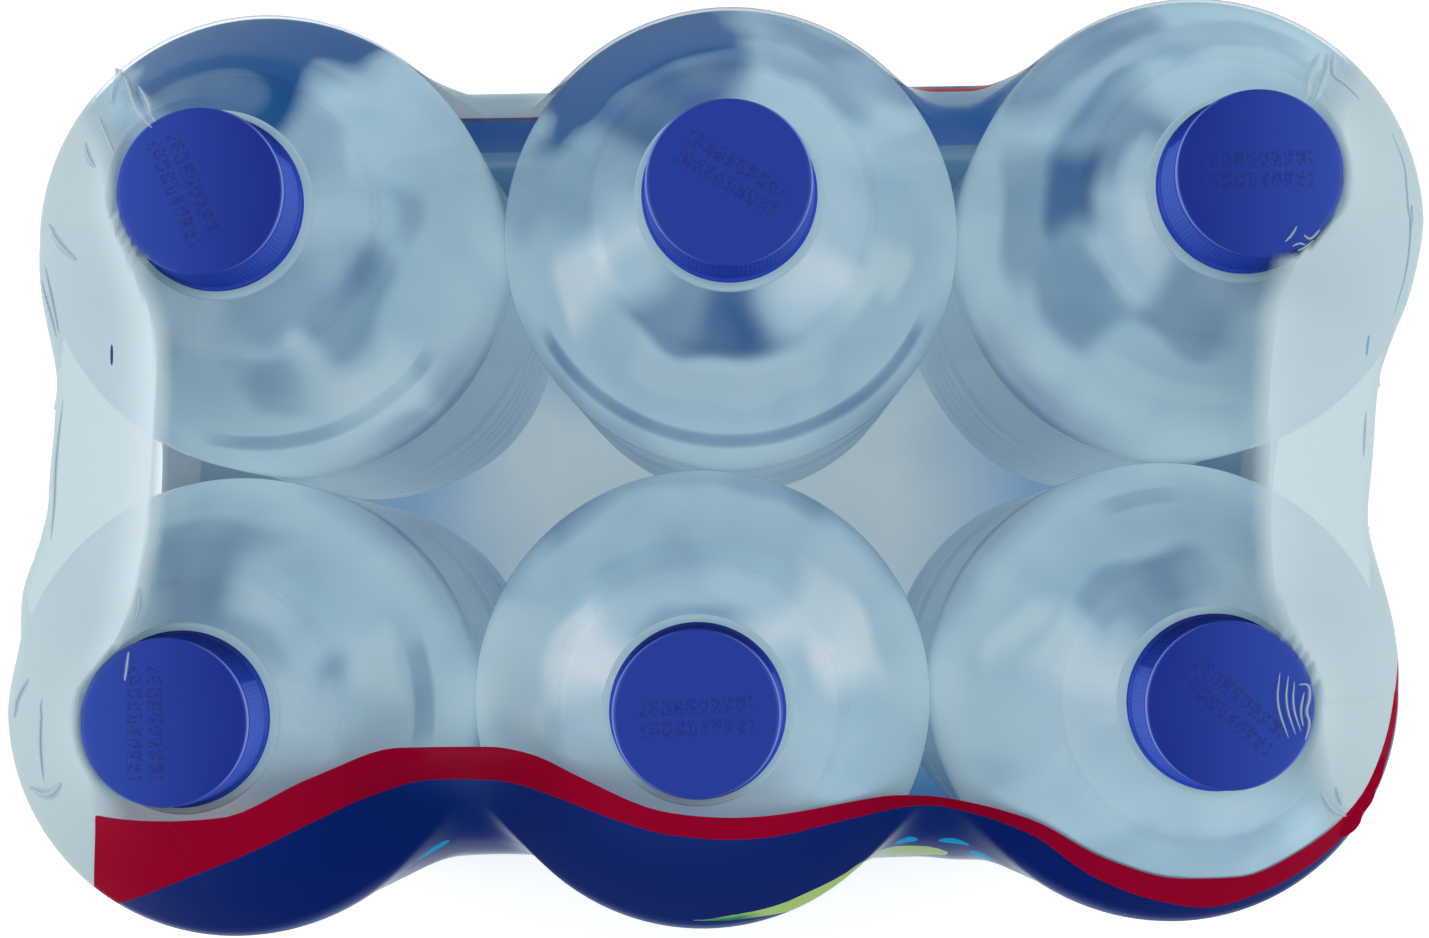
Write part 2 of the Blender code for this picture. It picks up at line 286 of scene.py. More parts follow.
# Share of the drink's painted tone on the wall above the level; painted shade down the body and at the edge that
# faces the other bottles, painted light where the bottles touch, and shares of a painted glow in the drink's middle
# and at its edge
WALL_PAINTED_TONE = 0.75
BODY_PAINTED_SHADE = (0.32, 0.60)
RIM_PAINTED_SHADE = 0.60
TOUCH_PAINTED_LIGHT = 0.08
MIDDLE_PAINTED_GLOW = 0.20
RIM_PAINTED_GLOW = 0.52
RIB_HEIGHTS = (0.052, 0.066, 0.080, 0.094)
RIB_DEPTH = 0.0008
RIB_HALF_WIDTH = 0.0042
LABEL_TOP = 0.188
LABEL_FOOT = 0.112
LABEL_DEPTH = 0.0007


def dome_radius(height):
    """Outer radius of the bottle's shoulder: a dome from the body up to the neck, flattened by the stretched film."""
    share = (height - DOME_FOOT) / DOME_HEIGHT
    dome = BODY_RADIUS - DOME_REACH * (1.0 - (1.0 - share**DOME_POWER) ** (1.0 / DOME_POWER))
    under_film = FILM_RIM_RADIUS + (SHEET_TOP - height) / OUTER_SLOPE - FILM_GAP
    return (dome + under_film - math.hypot(dome - under_film, 0.0006)) / 2


def dome_points(steps=DOME_STEPS):
    """Points down the shoulder, closer together near the neck, where it turns fastest."""
    top = DOME_FOOT + DOME_HEIGHT * 0.985
    shares = np.linspace(0.0, 1.0, steps)
    heights = top - (top - DOME_FOOT) * shares**1.6
    return [(dome_radius(h), h) for h in heights]


def body_depth(height):
    """How far the wall is drawn in at a height: label panel and grip ribs."""
    panel = min(max((LABEL_TOP - height) / 0.003, 0.0), 1.0) * min(max((height - LABEL_FOOT) / 0.003, 0.0), 1.0)
    depth = LABEL_DEPTH * panel * panel * (3 - 2 * panel)
    for rib in RIB_HEIGHTS:
        off = abs(height - rib) / RIB_HALF_WIDTH
        if off < 1:
            depth += RIB_DEPTH * (0.5 + 0.5 * math.cos(math.pi * off))
    return depth


def body_points():
    heights = list(np.arange(DOME_FOOT - 0.002, LABEL_TOP + 0.001, -0.004))
    heights += list(np.arange(LABEL_TOP, LABEL_TOP - 0.0031, -0.001))
    heights += list(np.arange(LABEL_TOP - 0.008, LABEL_FOOT + 0.003, -0.008))
    heights += list(np.arange(LABEL_FOOT + 0.003, LABEL_FOOT - 0.0001, -0.001))
    heights += list(np.arange(LABEL_FOOT - 0.004, RIB_HEIGHTS[-1] + RIB_HALF_WIDTH, -0.003))
    heights += list(np.arange(RIB_HEIGHTS[-1] + RIB_HALF_WIDTH, RIB_HEIGHTS[0] - RIB_HALF_WIDTH, -0.0012))
    heights += list(np.arange(RIB_HEIGHTS[0] - RIB_HALF_WIDTH, 0.0185, -0.004))
    return [(BODY_RADIUS - body_depth(h), h) for h in heights]


def foot_points():
    """The heel and the underside, in to the axis."""
    heel = [(BODY_RADIUS - 0.0075 * (1 - math.cos(a)), 0.018 - 0.0170 * math.sin(a))
            for a in np.linspace(0.0, math.pi / 2, 12)]
    under = [(r, BOTTLE_FOOT + 0.0002) for r in np.linspace(0.0355, 0.002, 16)]
    return heel + under


def bottle_feet(radius, height, angle):
    """Five feet pressed out of the underside, with valleys between them that run up the heel."""
    reach = np.clip(radius / 0.034, 0.0, 1.0)
    low = np.clip((0.030 - height) / 0.030, 0.0, 1.0)
    valley = (0.5 + 0.5 * np.cos(5 * angle)) ** 2
    centre = np.clip(1.0 - radius / 0.030, 0.0, 1.0)
    rise = (0.0085 * valley * reach**0.5 * low**2 + 0.008 * centre**1.2) * (height < 0.017)
    draw = 0.0040 * valley * low**1.5 * (radius > 0.030)
    return radius - draw, height + rise


def bottle_profile():
    """From the mouth over the lip and down the outside."""
    outer = [(FINISH_RADIUS, BOTTLE_LIP), (FINISH_RADIUS, RING_HEIGHT + 0.0010)]
    outer += [(RING_RADIUS - 0.0004, RING_HEIGHT + 0.0004), (RING_RADIUS, RING_HEIGHT)]
    outer += [(RING_RADIUS, RING_HEIGHT - 0.0009), (RING_RADIUS - 0.0006, RING_HEIGHT - 0.0014)]
    outer += [(NECK_RADIUS + 0.0004, RING_HEIGHT - 0.0020), (NECK_RADIUS, RING_HEIGHT - 0.0030)]
    outer += [(NECK_RADIUS, dome_points()[0][1] + 0.0016)]
    outer += dome_points() + body_points() + foot_points()
    return [(BORE_RADIUS, BOTTLE_LIP - 0.004), (BORE_RADIUS, BOTTLE_LIP), *outer, (0.0, outer[-1][1])]


def drink_painted_glow(points, side):
    """Share of painted glow in the drink, which paints light where the bottles shade each other: a small share in the
    middle, and at the edge most on the side that faces the other bottles and none on the outer side.
    """
    radius = np.hypot(points[:, 0], points[:, 1])
    outward = np.clip(side * points[:, 1] / np.maximum(radius, 0.001), 0.0, 1.0)
    rim = np.clip((radius - 0.026) / 0.016, 0.0, 1.0) ** 1.5
    return MIDDLE_PAINTED_GLOW + (RIM_PAINTED_GLOW * (1.0 - outward) - MIDDLE_PAINTED_GLOW) * rim


def bottle_neck(points):
    """Extra share of pale plastic up the neck, and share of the drink's painted colours and painted glow on the wall
    above its level.
    """
    pale = NECK_PALE * np.clip((points[:, 2] - DRINK_LEVEL) / 0.007, 0.0, 1.0)
    pale += RING_PALE * (np.hypot(points[:, 0], points[:, 1]) > RING_RADIUS - 0.0009) * (points[:, 2] > 0.292)
    painted_share = np.clip((points[:, 2] - DRINK_LEVEL + 0.003) / 0.003, 0.0, 1.0)
    clear = np.clip((DOME_FOOT + DOME_HEIGHT - points[:, 2]) / 0.002, 0.0, 1.0)
    return pale, WALL_PAINTED_TONE * painted_share * clear


# Soft fields painted in each bottle's drink: painted reflections of the print, painted light that the drink bends,
# and painted shade, as (radii from and to in mm, degrees from and to, tone)
PAINTED_DRINK_FIELDS = (
    ((14, 24, 70, 112, 0.45), (24, 35, 70, 108, 0.30), (14, 19, 35, 70, 0.35), (23, 27, 12, 28, 0.35),
     (28, 35, 8, 30, -0.40), (36.4, 39.4, -14, 14, 0.40), (14, 32, 225, 300, -0.45)),
    ((14, 19, 68, 130, 0.38), (24, 35, 8, 30, -0.80), (14, 34, 30, 52, -0.55), (14, 28, 134, 170, -0.90),
     (28, 45, 0, 52, -0.15), (28, 45, 150, 190, -0.30), (40, 46, 60, 130, 0.25), (20, 31, 85, 125, 0.15)),
    ((14, 28, 88, 130, 0.40), (19, 27, 88, 108, 0.15), (20, 28, 130, 148, 0.30), (14, 30, 150, 175, -0.50),
     (31, 36, 150, 170, -0.50), (14, 45, 175, 200, -0.15), (36, 39, 92, 112, 0.25), (24, 46, 240, 300, 0.18)),
    ((14, 26, 60, 129, 0.80), (26, 46, 60, 129, 1.08), (34, 44, 296, 318, -0.40), (28, 36, 90, 115, 0.15), (14, 31, 50, 71, 0.50), (31, 46, 50, 71, 0.20),
     (14, 46, 129, 155, 0.25), (14, 24, 12, 50, 0.28), (28, 32, -8, 8, 0.30), (14, 24, 270, 330, 0.35),
     (24, 32, 305, 345, 0.40), (16, 29, 330, 350, 0.20), (26, 36, 272, 290, 0.30), (38.7, 40.9, 256, 326, 0.45),
     (24, 34, 294, 304, -0.40)),
    ((14, 27, 228, 292, 0.50), (14, 26, 253, 284, 0.35), (14, 46, 84, 150, 0.80), (30, 46, 92, 146, 0.50), (26, 46, 38, 80, 0.40),
     (14, 46, 150, 180, 0.35), (34, 46, 110, 148, 0.25), (23, 35, 190, 216, -0.80), (14, 24, 196, 206, -0.50), (14, 29, 310, 330, -0.60),
     (25, 33, 330, 350, -0.60), (33, 42, 50, 90, 0.20), (27, 34, 240, 300, -0.25), (39.6, 41.7, 206, 338, 0.55)),
    ((14, 31, 130, 150, 0.50), (20, 31, 150, 172, 0.50), (25, 31, 172, 188, 0.45), (27, 36, 198, 230, 0.45), (24, 39, 160, 198, 0.40),
     (14, 28, 232, 272, 0.42), (14, 19, 272, 290, 0.35), (35, 39, 106, 150, 0.35), (39, 46, 105, 150, 0.25),
     (28, 36, 60, 110, 0.25), (30, 46, 108, 150, 0.25), (14, 20, 175, 225, -0.30), (33, 36, 236, 275, -0.20)),
)


def field_share(value, start, end, edge):
    """1 between start and end, falling to 0 over a soft edge that is half way down at each of them."""
    return min(max(min(value - start, end - value) / edge + 0.5, 0.0), 1.0)


def drink_painted_tone(points, number):
    """Painted tone of the drink at each point: blue (above 0) paints the print that it bends and the shade between
    the bottles, white (below 0) paints the light that it bends.

    The painted shade deepens at the edge that faces the other bottles and down the body on that side, and the tone is
    painted whiter where the bottles touch.
    """
    row = 1 if number > COLUMNS else -1
    tones = []
    for x, y, z in points:
        sway = noise.noise_vector(Vector((x * 90, y * 90, number * 9.0)))
        grain = noise.noise(Vector((x * 130, y * 130, number * 5.0))) * 0.14
        radius = math.hypot(x, y) * 1000
        angle = math.degrees(math.atan2(y, x))
        inward = min(max(0.5 - row * y / max(math.hypot(x, y), 0.001) * 1.5, 0.0), 1.0)
        diagonal = (2 * x * y / max(x * x + y * y, 1e-6)) ** 2
        # Painted shade down the body, deepest towards the gaps on the side that faces the other row, and painted
        # whiter towards the bottles it touches
        tone = BODY_PAINTED_SHADE[0] + (BODY_PAINTED_SHADE[1] - BODY_PAINTED_SHADE[0]) * inward * diagonal - 0.22 * (1.0 - diagonal) ** 2
        tone *= min(max((0.215 - z) / 0.02, 0.0), 1.0)
        # Painted shade at the edge towards the gaps, and painted light where the bottles touch
        if z > 0.195:
            edge = min(max((radius - 39.0) / 5.6, 0.0), 1.0) ** 1.6
            tone += edge * inward * (RIM_PAINTED_SHADE * diagonal - TOUCH_PAINTED_LIGHT * (1.0 - diagonal))
        fade = min(max((z - 0.182) / 0.034, 0.0), 1.0)
        # Painted fields of the print and light that the drink bends, and of shade, fading out down the shoulder
        if fade > 0.0:
            for inner, outer, start, end, depth in PAINTED_DRINK_FIELDS[number - 1]:
                thin = outer - inner < 3.5
                away = radius + sway.x * (0.2 if thin else 3.0)
                turn = (angle + sway.y * 12 - start + 60) % 360 - 60
                ring = field_share(away, inner, outer, 0.7 if thin else 2.6)
                wedge = field_share(turn, 0.0, end - start, 12.0 if thin else 420.0 / max(radius, 12.0))
                ring, wedge = ring * ring * (3 - 2 * ring), wedge * wedge * (3 - 2 * wedge)
                tone += depth * ring * wedge * fade
        tones.append(tone + grain * min(max((z - 0.19) / 0.02, 0.0), 1.0))
    return np.clip(np.array(tones), -1.1, 1.1)


def drink_milk(points, side):
    """Share of milky colour in the drink: most of it in the shoulders, less down the body, least on the outside."""
    rise = np.clip((points[:, 2] - 0.185) / 0.025, 0.0, 1.0)
    inward = np.clip(0.5 - side * points[:, 1] / BODY_RADIUS, 0.0, 1.0)
    body = BODY_MILK[0] + (BODY_MILK[1] - BODY_MILK[0]) * inward
    return body + (SHOULDER_MILK - body) * rise * rise * (3 - 2 * rise)


def drink_profile():
    """From the level down to the floor, reaching half way into the bottle's wall."""
    skin = dome_points(DOME_STEPS * 2) + body_points() + foot_points()
    side = [(r - WALL / 2, h + WALL / 2 * (h < 0.018)) for r, h in skin]
    side = [(r, h) for r, h in side if h < DRINK_LEVEL - 0.0004]
    rim = side[0][0]
    level = [(0.0, DRINK_LEVEL - 0.0006)]
    level += [(rim * share, DRINK_LEVEL - 0.0006) for share in (0.3, 0.5, 0.6, 0.7, 0.78, 0.84)]
    return [*level, *side, (0.0, side[-1][1])]


# Film

FILM_BODY_RADIUS = 0.0448
FILM_RIDGE_HEIGHT = 0.3035
INNER_SLOPE = 0.42
BLEND = 0.004
REACH_BLEND = 0.012
SLOPE_BLEND = 0.012
SIDE_SHEET = (
    (FILM_RIDGE_HEIGHT, 0.0),
    (0.285, 0.0065),
    (0.270, 0.0100),
    (0.240, 0.0185),
    (0.205, 0.0310),
    (0.170, 0.0370),
    (0.100, 0.0420),
    (0.050, 0.0450),
)
END_SHEET = (
    (FILM_RIDGE_HEIGHT, 0.0),
    (0.290, 0.0130),
    (0.270, 0.0240),
    (0.250, 0.0330),
    (0.233, 0.0388),
    (0.205, 0.0435),
    (0.170, 0.0450),
)
# How far the film hangs out across each gap as a share of the sheets above, by the place along that side
FRONT_SLACK = ((-0.0935, 1.0), (-0.0485, 0.915), (-0.0035, 1.0), (0.0415, 0.965), (0.0500, 0.985), (0.0865, 1.0))
BACK_SLACK = ((-0.0865, 1.0), (0.0935, 1.0))
LEFT_SLACK = ((-0.045, 1.0), (-0.036, 1.08), (-0.024, 1.10), (-0.012, 1.03), (-0.004, 1.0), (0.045, 1.0))
RIGHT_SLACK = ((-0.045, 1.0), (-0.008, 0.935), (0.020, 0.960), (0.045, 1.0))
ALONG_STEPS = 40
ACROSS_STEPS = 60
CORNER_STEPS = 60
OUTWARD_STEPS = 40
UNDER_STEPS = 14
WALL_STEP = 0.0045
END_OPENING_HEIGHT = 0.150
END_OPENING_HALF_HEIGHT = 0.075
END_OPENING_HALF_WIDTH = 0.044


def smooth_max(a, b, blend):
    return (a + b + math.hypot(a - b, blend)) / 2


def soft_max(a, b, blend):
    """The larger of two values, rounded off only where they come within blend of each other."""
    near = max(blend - abs(a - b), 0.0) / blend
    return max(a, b) + near * near * blend / 4


def smooth_read(pairs, value):
    """Reading of (x, y) pairs, x rising, along a curve through them with no overshoot."""
    if value <= pairs[0][0]:
        return pairs[0][1]
    if value >= pairs[-1][0]:
        return pairs[-1][1]
    xs = [p[0] for p in pairs]
    i = max(k for k in range(len(xs) - 1) if xs[k] <= value)

    def chord(k):
        return (pairs[k + 1][1] - pairs[k][1]) / (xs[k + 1] - xs[k])

    def slope(k):
        if k == 0:
            return chord(0)
        if k == len(xs) - 1:
            return chord(k - 1)
        a, b = chord(k - 1), chord(k)
        return 0.0 if a * b <= 0 else 2 * a * b / (a + b)

    width = xs[i + 1] - xs[i]
    t = (value - xs[i]) / width
    a, b = pairs[i][1], pairs[i + 1][1]
    return (a * (1 + 2 * t) * (1 - t) ** 2 + b * t * t * (3 - 2 * t)
            + slope(i) * width * t * (1 - t) ** 2 + slope(i + 1) * width * t * t * (t - 1))


def reach_at(sheet, height):
    return smooth_read([(h, d) for h, d in reversed(sheet)], height)


def height_at(sheet, distance):
    return smooth_read([(d, h) for h, d in sheet], distance)


def nearest_axis(x, y):
    return min(math.hypot(x - px, y - py) for px, py in bottle_places())


def body_reach(height):
    """Radius of the film round a bottle below the shoulder line."""
    if height >= DOME_FOOT:
        share = (height - DOME_FOOT) / (FILM_SHOULDER_HEIGHT - DOME_FOOT)
        return FILM_BODY_RADIUS - (FILM_BODY_RADIUS - FILM_SHOULDER_RADIUS) * share**1.6
    if height >= 0.018:
        return FILM_BODY_RADIUS
    turn = (0.018 - height) / 0.018
    return FILM_BODY_RADIUS - 0.0078 * (1.0 - math.sqrt(max(1.0 - turn**2, 0.0)))


class Spoke:
    """One line outward from the frame of bottle axes, along which the film is laid down the wall."""

    def __init__(self, start, direction, offset, sheet, slack=1.0):
        self.start = start
        self.direction = direction
        self.offset = offset
        self.sheet = sheet
        self.slack = slack

    def reach(self, height, radius):
        if self.sheet is None:
            return radius
        round_bottle = math.sqrt(max(radius**2 - self.offset**2, 0.0))
        across_gap = min(reach_at(self.sheet, height) * self.slack, radius + 0.015 * (self.slack - 1.02))
        return soft_max(round_bottle, across_gap, max(min(REACH_BLEND, radius - across_gap), 0.0004))

    def place(self, distance):
        return (self.start[0] + self.direction[0] * distance, self.start[1] + self.direction[1] * distance)

    def roof(self, share):
        """Film height at a share of the way out from the axes to the shoulder line."""
        edge = self.reach(FILM_SHOULDER_HEIGHT, FILM_SHOULDER_RADIUS)

        def raw(part):
            radius = nearest_axis(*self.place(part * edge))
            run = max(radius - FILM_RIM_RADIUS, 0.0)
            whole = FILM_SHOULDER_RADIUS - FILM_RIM_RADIUS
            along = min(run / whole, 1.0)
            tent = SHEET_TOP - OUTER_SLOPE * run - 0.0032 * math.sin(math.pi * along) * (1.0 - along)
            if self.sheet is None:
                return tent
            return min(smooth_max(tent, height_at(self.sheet, part * edge / self.slack), SLOPE_BLEND), SHEET_TOP)

        return raw(share) - (raw(1.0) - FILM_SHOULDER_HEIGHT) * share**3


def roof_inside(x, y):
    """Film height between the caps, where it hangs a little between their tops."""
    tent = SHEET_TOP - INNER_SLOPE * max(nearest_axis(x, y) - FILM_RIM_RADIUS, 0.0)
    return min(smooth_max(tent, FILM_RIDGE_HEIGHT, BLEND), SHEET_TOP)


def row_places(side):
    first = -(COLUMNS - 1) / 2 * PITCH + side * ROW_SHIFT / 2
    steps = (COLUMNS - 1) * ALONG_STEPS
    return [first + (COLUMNS - 1) * PITCH * k / steps for k in range(steps + 1)]


def axis_rows():
    rows = []
    for k in range(ACROSS_STEPS + 1):
        share = k / ACROSS_STEPS
        rows.append([(a + (b - a) * share, (share - 0.5) * PITCH) for a, b in zip(row_places(-1), row_places(1))])
    return rows


def spokes_round(rows):
    """Every spoke in order round the pack, with its place on the axis frame and its distance round the sleeve.

    The distance round is 0 at the middle of the front and grows towards +X.
    """
    across, along = len(rows) - 1, len(rows[0]) - 1
    corner = FILM_BODY_RADIUS * math.pi / 2
    start = -3.0 * corner - 4.0 * PITCH
    back = [(across, i) for i in range(along, 0, -1)]
    left = [(k, 0) for k in range(across, 0, -1)]
    front = [(0, i) for i in range(along)]
    right = [(k, along) for k in range(across)]
    spokes = []
    for side, angle, sheet, slack in (
        (back, 90, SIDE_SHEET, BACK_SLACK),
        (left, 180, END_SHEET, LEFT_SLACK),
        (front, 270, SIDE_SHEET, FRONT_SLACK),
        (right, 360, END_SHEET, RIGHT_SLACK),
    ):
        row, column = side[0]
        for step in range(CORNER_STEPS):
            turn = math.radians(angle - 90 + 90 * step / CORNER_STEPS)
            round_run = start + corner * step / CORNER_STEPS
            spokes.append((Spoke(rows[row][column], (math.cos(turn), math.sin(turn)), 0.0, None), side[0], round_run))
        start += corner
        direction = (round(math.cos(math.radians(angle))), round(math.sin(math.radians(angle))))
        spacing = PITCH / (ALONG_STEPS if sheet is SIDE_SHEET else ACROSS_STEPS)
        for count, (row, column) in enumerate(side):
            run = count * spacing
            offset = abs((run + PITCH / 2) % PITCH - PITCH / 2)
            place = rows[row][column]
            share = smooth_read(slack, place[0 if sheet is SIDE_SHEET else 1])
            spokes.append((Spoke(place, direction, offset, sheet, share), (row, column), start + run))
        start += len(side) * spacing
    return spokes


def film_grid():
    """Points, faces and (round, down) coordinates of the film as one skin."""
    rows = axis_rows()
    along = len(rows[0])
    points, girth, around, faces = [], [], [], []
    for row in rows:
        for x, y in row:
            points.append((x, y, roof_inside(x, y)))
            girth.append(0.0)
            around.append(0.0)
    for k in range(len(rows) - 1):
        for i in range(along - 1):
            a = k * along + i
            faces.append((a, a + 1, a + 1 + along, a + along))
    spokes = spokes_round(rows)
    ring = [row * along + column for _, (row, column), _ in spokes]
    for place, (spoke, _, round_run) in zip(ring, spokes):
        around[place] = round_run
    levels = [FILM_SHOULDER_HEIGHT]
    while levels[-1] > 0.018:
        levels.append(levels[-1] - WALL_STEP)
    levels += [0.018 * (1 - math.sin(a)) for a in np.linspace(0.15, math.pi / 2, 8)]
    run = [0.0] * len(spokes)
    for step in range(1, OUTWARD_STEPS + len(levels)):
        fresh = []
        for s, (spoke, _, round_run) in enumerate(spokes):
            if step <= OUTWARD_STEPS:
                share = step / OUTWARD_STEPS
                distance = share * spoke.reach(FILM_SHOULDER_HEIGHT, FILM_SHOULDER_RADIUS)
                height = spoke.roof(share)
            else:
                height = levels[step - OUTWARD_STEPS]
                distance = spoke.reach(height, body_reach(height))
            point = (*spoke.place(distance), height)
            run[s] += math.dist(point, points[ring[s]])
            fresh.append(len(points))
            points.append(point)
            girth.append(run[s])
            around.append(round_run)
        count = len(spokes)
        for i in range(count):
            j = (i + 1) % count
            face = tuple(dict.fromkeys((ring[i], fresh[i], fresh[j], ring[j])))
            faces.append(face)
        ring = fresh
    count = len(ring)
    for step in range(1, UNDER_STEPS):
        inner = list(range(len(points), len(points) + count))
        for place in ring:
            x, y, _ = points[place]
            keep = 1.0 - 1.0 / (UNDER_STEPS - step + 1)
            points.append((x * keep, y * keep, 0.0))
            girth.append(max(run))
            around.append(0.0)
        faces.extend((ring[i], inner[i], inner[(i + 1) % count], ring[(i + 1) % count]) for i in range(count))
        ring = inner
    middle = len(points)
    points.append((0.0, 0.0, 0.0))
    girth.append(max(run))
    around.append(0.0)
    for i in range(len(ring)):
        faces.append((ring[i], middle, ring[(i + 1) % len(ring)]))
    return np.array(points), np.array(around), np.array(girth), faces


def in_end_opening(point):
    if abs(point[0]) < PITCH + ROW_SHIFT / 2 + 0.020:
        return False
    across = point[1] / END_OPENING_HALF_WIDTH
    upward = (point[2] - END_OPENING_HEIGHT) / END_OPENING_HALF_HEIGHT
    return across**2 + upward**2 < 1.0


def round_openings(points, faces):
    """The faces outside the end openings, with the openings' edges moved onto their ellipses."""
    kept = [f for f in faces if not in_end_opening(points[list(f)].mean(axis=0))]
    removed = {v for f in faces if in_end_opening(points[list(f)].mean(axis=0)) for v in f}
    for v in removed & {v for f in kept for v in f}:
        across = points[v][1] / END_OPENING_HALF_WIDTH
        upward = (points[v][2] - END_OPENING_HEIGHT) / END_OPENING_HALF_HEIGHT
        size = math.hypot(across, upward)
        points[v][1] /= size
        points[v][2] = END_OPENING_HEIGHT + (points[v][2] - END_OPENING_HEIGHT) / size
    return kept


# Print, haze and the painted sheen, highlight and shade on the film. The front band's upper edges are curves in plan,
# and the back band's is a curve of heights.

FRONT_RED = (
    (-0.1100, -0.0619), (-0.0860, -0.0618), (-0.0720, -0.0560), (-0.0564, -0.0511), (-0.0410, -0.0512),
    (-0.0245, -0.0566), (-0.0084, -0.0619), (0.0100, -0.0636), (0.0296, -0.0631), (0.0450, -0.0649),
    (0.0574, -0.0676), (0.0704, -0.0745), (0.0840, -0.0784), (0.0956, -0.0786), (0.1072, -0.0742),
    (0.1202, -0.0650), (0.1259, -0.0545), (0.1320, -0.0340),
)
FRONT_NAVY = (
    (-0.1180, -0.0830), (-0.1127, -0.0811), (-0.0962, -0.0744), (-0.0839, -0.0695), (-0.0737, -0.0648),
    (-0.0643, -0.0608), (-0.0538, -0.0585), (-0.0428, -0.0588), (-0.0311, -0.0609), (-0.0195, -0.0640),
    (-0.0087, -0.0667), (0.0070, -0.0682), (0.0238, -0.0667), (0.0359, -0.0660), (0.0475, -0.0675),
    (0.0577, -0.0707), (0.0687, -0.0784), (0.0801, -0.0833), (0.0923, -0.0857), (0.1029, -0.0826),
    (0.1180, -0.0735), (0.1260, -0.0620), (0.1320, -0.0430),
)
GREEN_TOP = (
    (-0.0080, -0.0866), (-0.0038, -0.0863), (0.0006, -0.0858), (0.0060, -0.0851), (0.0113, -0.0838),
    (0.0157, -0.0820), (0.0197, -0.0804), (0.0232, -0.0788), (0.0257, -0.0772), (0.0282, -0.0762),
    (0.0323, -0.0762), (0.0367, -0.0764), (0.0409, -0.0767), (0.0443, -0.0777), (0.0480, -0.0800),
)
GREEN_FOOT = (
    (-0.0080, -0.0867), (-0.0038, -0.0870), (0.0006, -0.0871), (0.0060, -0.0867), (0.0113, -0.0862),
    (0.0157, -0.0855), (0.0232, -0.0850), (0.0323, -0.0845), (0.0409, -0.0830), (0.0480, -0.0800),
)
PRINT_END_PLACE = (-0.1101, -0.0619)
PRINT_END_LEAN = 0.643
INK_FOOT = 0.020
BACK_RED = ((-0.125, 0.110), (-0.045, 0.100), (0.000, 0.140), (0.048, 0.206), (0.100, 0.180), (0.130, 0.155))
BACK_RED_WIDTH = 0.010
BACK_RED_START = 0.010
BACK_BLUE_TOP = 0.105
BACK_BLUE_FADE = 0.020
END_HAZE = 0.88
# Painted highlight along a crest just past each end's haze line: how much milkier it makes the film, and how wide it
# is
CREST_HIGHLIGHT_HAZE = 0.12
CREST_HIGHLIGHT_WIDTH = 0.007
WALL_HAZE = 0.40
ROOF_HAZE = 0.18
SKIN_HAZE = 0.006
BACK_HAZE = 0.66
# Painted shade in the back valleys
BACK_SHADE = 0.45
LEFT_HAZE_LINE = (
    (-0.090, 0.1110), (-0.070, 0.1050), (-0.058, 0.0990), (-0.045, 0.0960), (-0.034, 0.0965), (-0.0246, 0.0965),
    (-0.010, 0.0945), (0.003, 0.0938), (0.019, 0.0930), (0.030, 0.0935), (0.040, 0.0945), (0.045, 0.0955),
    (0.054, 0.0990), (0.065, 0.1070), (0.075, 0.1160), (0.090, 0.1280),
)
RIGHT_HAZE_LINE = (
    (-0.090, 0.1200), (-0.070, 0.1090), (-0.058, 0.0990), (-0.045, 0.0940), (-0.030, 0.0925), (0.000, 0.0922),
    (0.030, 0.0940), (0.045, 0.0980), (0.056, 0.1020), (0.066, 0.1090), (0.078, 0.1180), (0.090, 0.1250),
)


def print_depths(points):
    """How far each point of the film lies below the upper edges of the red band and of the navy field."""
    red = np.full(len(points), -0.05)
    navy = np.full(len(points), -0.05)
    for i, (x, y, z) in enumerate(points):
        if z < INK_FOOT:
            continue
        if y < 0:
            beyond_end = x - PRINT_END_PLACE[0] - PRINT_END_LEAN * (y - PRINT_END_PLACE[1])
            red[i] = min(smooth_read(FRONT_RED, x) - y, beyond_end)
            navy[i] = smooth_read(FRONT_NAVY, x) - y
        elif BACK_RED[0][0] < x < BACK_RED[-1][0] and y > 0.045:
            red[i] = smooth_read(BACK_RED, x) - z
            navy[i] = red[i] - BACK_RED_WIDTH
    return red, navy


def swoosh_depths(points):
    """How far each point lies inside the green swoosh, how dark it is there, and how much painted sheen lies on the
    front near the shoulders and painted shade in the back valleys.
    """
    columns = []
    for x, y, z in points:
        inside, dark, sheen = -0.05, 0.0, 0.0
        if y < 0 and z > INK_FOOT:
            if GREEN_TOP[0][0] < x < GREEN_TOP[-1][0]:
                inside = min(smooth_read(GREEN_TOP, x) - y, y - smooth_read(GREEN_FOOT, x), z - 0.165 - 0.9 * (x - 0.030))
                dark = min(max((0.0075 - x) / 0.004, 0.0), 1.0) * min(max((smooth_read(GREEN_TOP, x) - y) / 0.0008, 0.0), 1.0)
            radius = nearest_axis(x, y)
            # Painted sheen on the front print near each shoulder's outline
            ahead = min(max(((-PITCH / 2 - y) / radius - 0.72) / 0.2, 0.0), 1.0) * min(max((0.105 - x) / 0.02, 0.0), 1.0)
            sheen = ahead * min(max((radius - 0.0426) / 0.0022, 0.0), 1.0) ** 1.5 * min(max((z - 0.208) / 0.02, 0.0), 1.0)
        elif y > 0.055 and nearest_axis(x, y) > 0.0445:
            # Painted shade in the back valleys
            sheen = BACK_SHADE
        columns.append((inside, dark, sheen))
    return np.array(columns).T


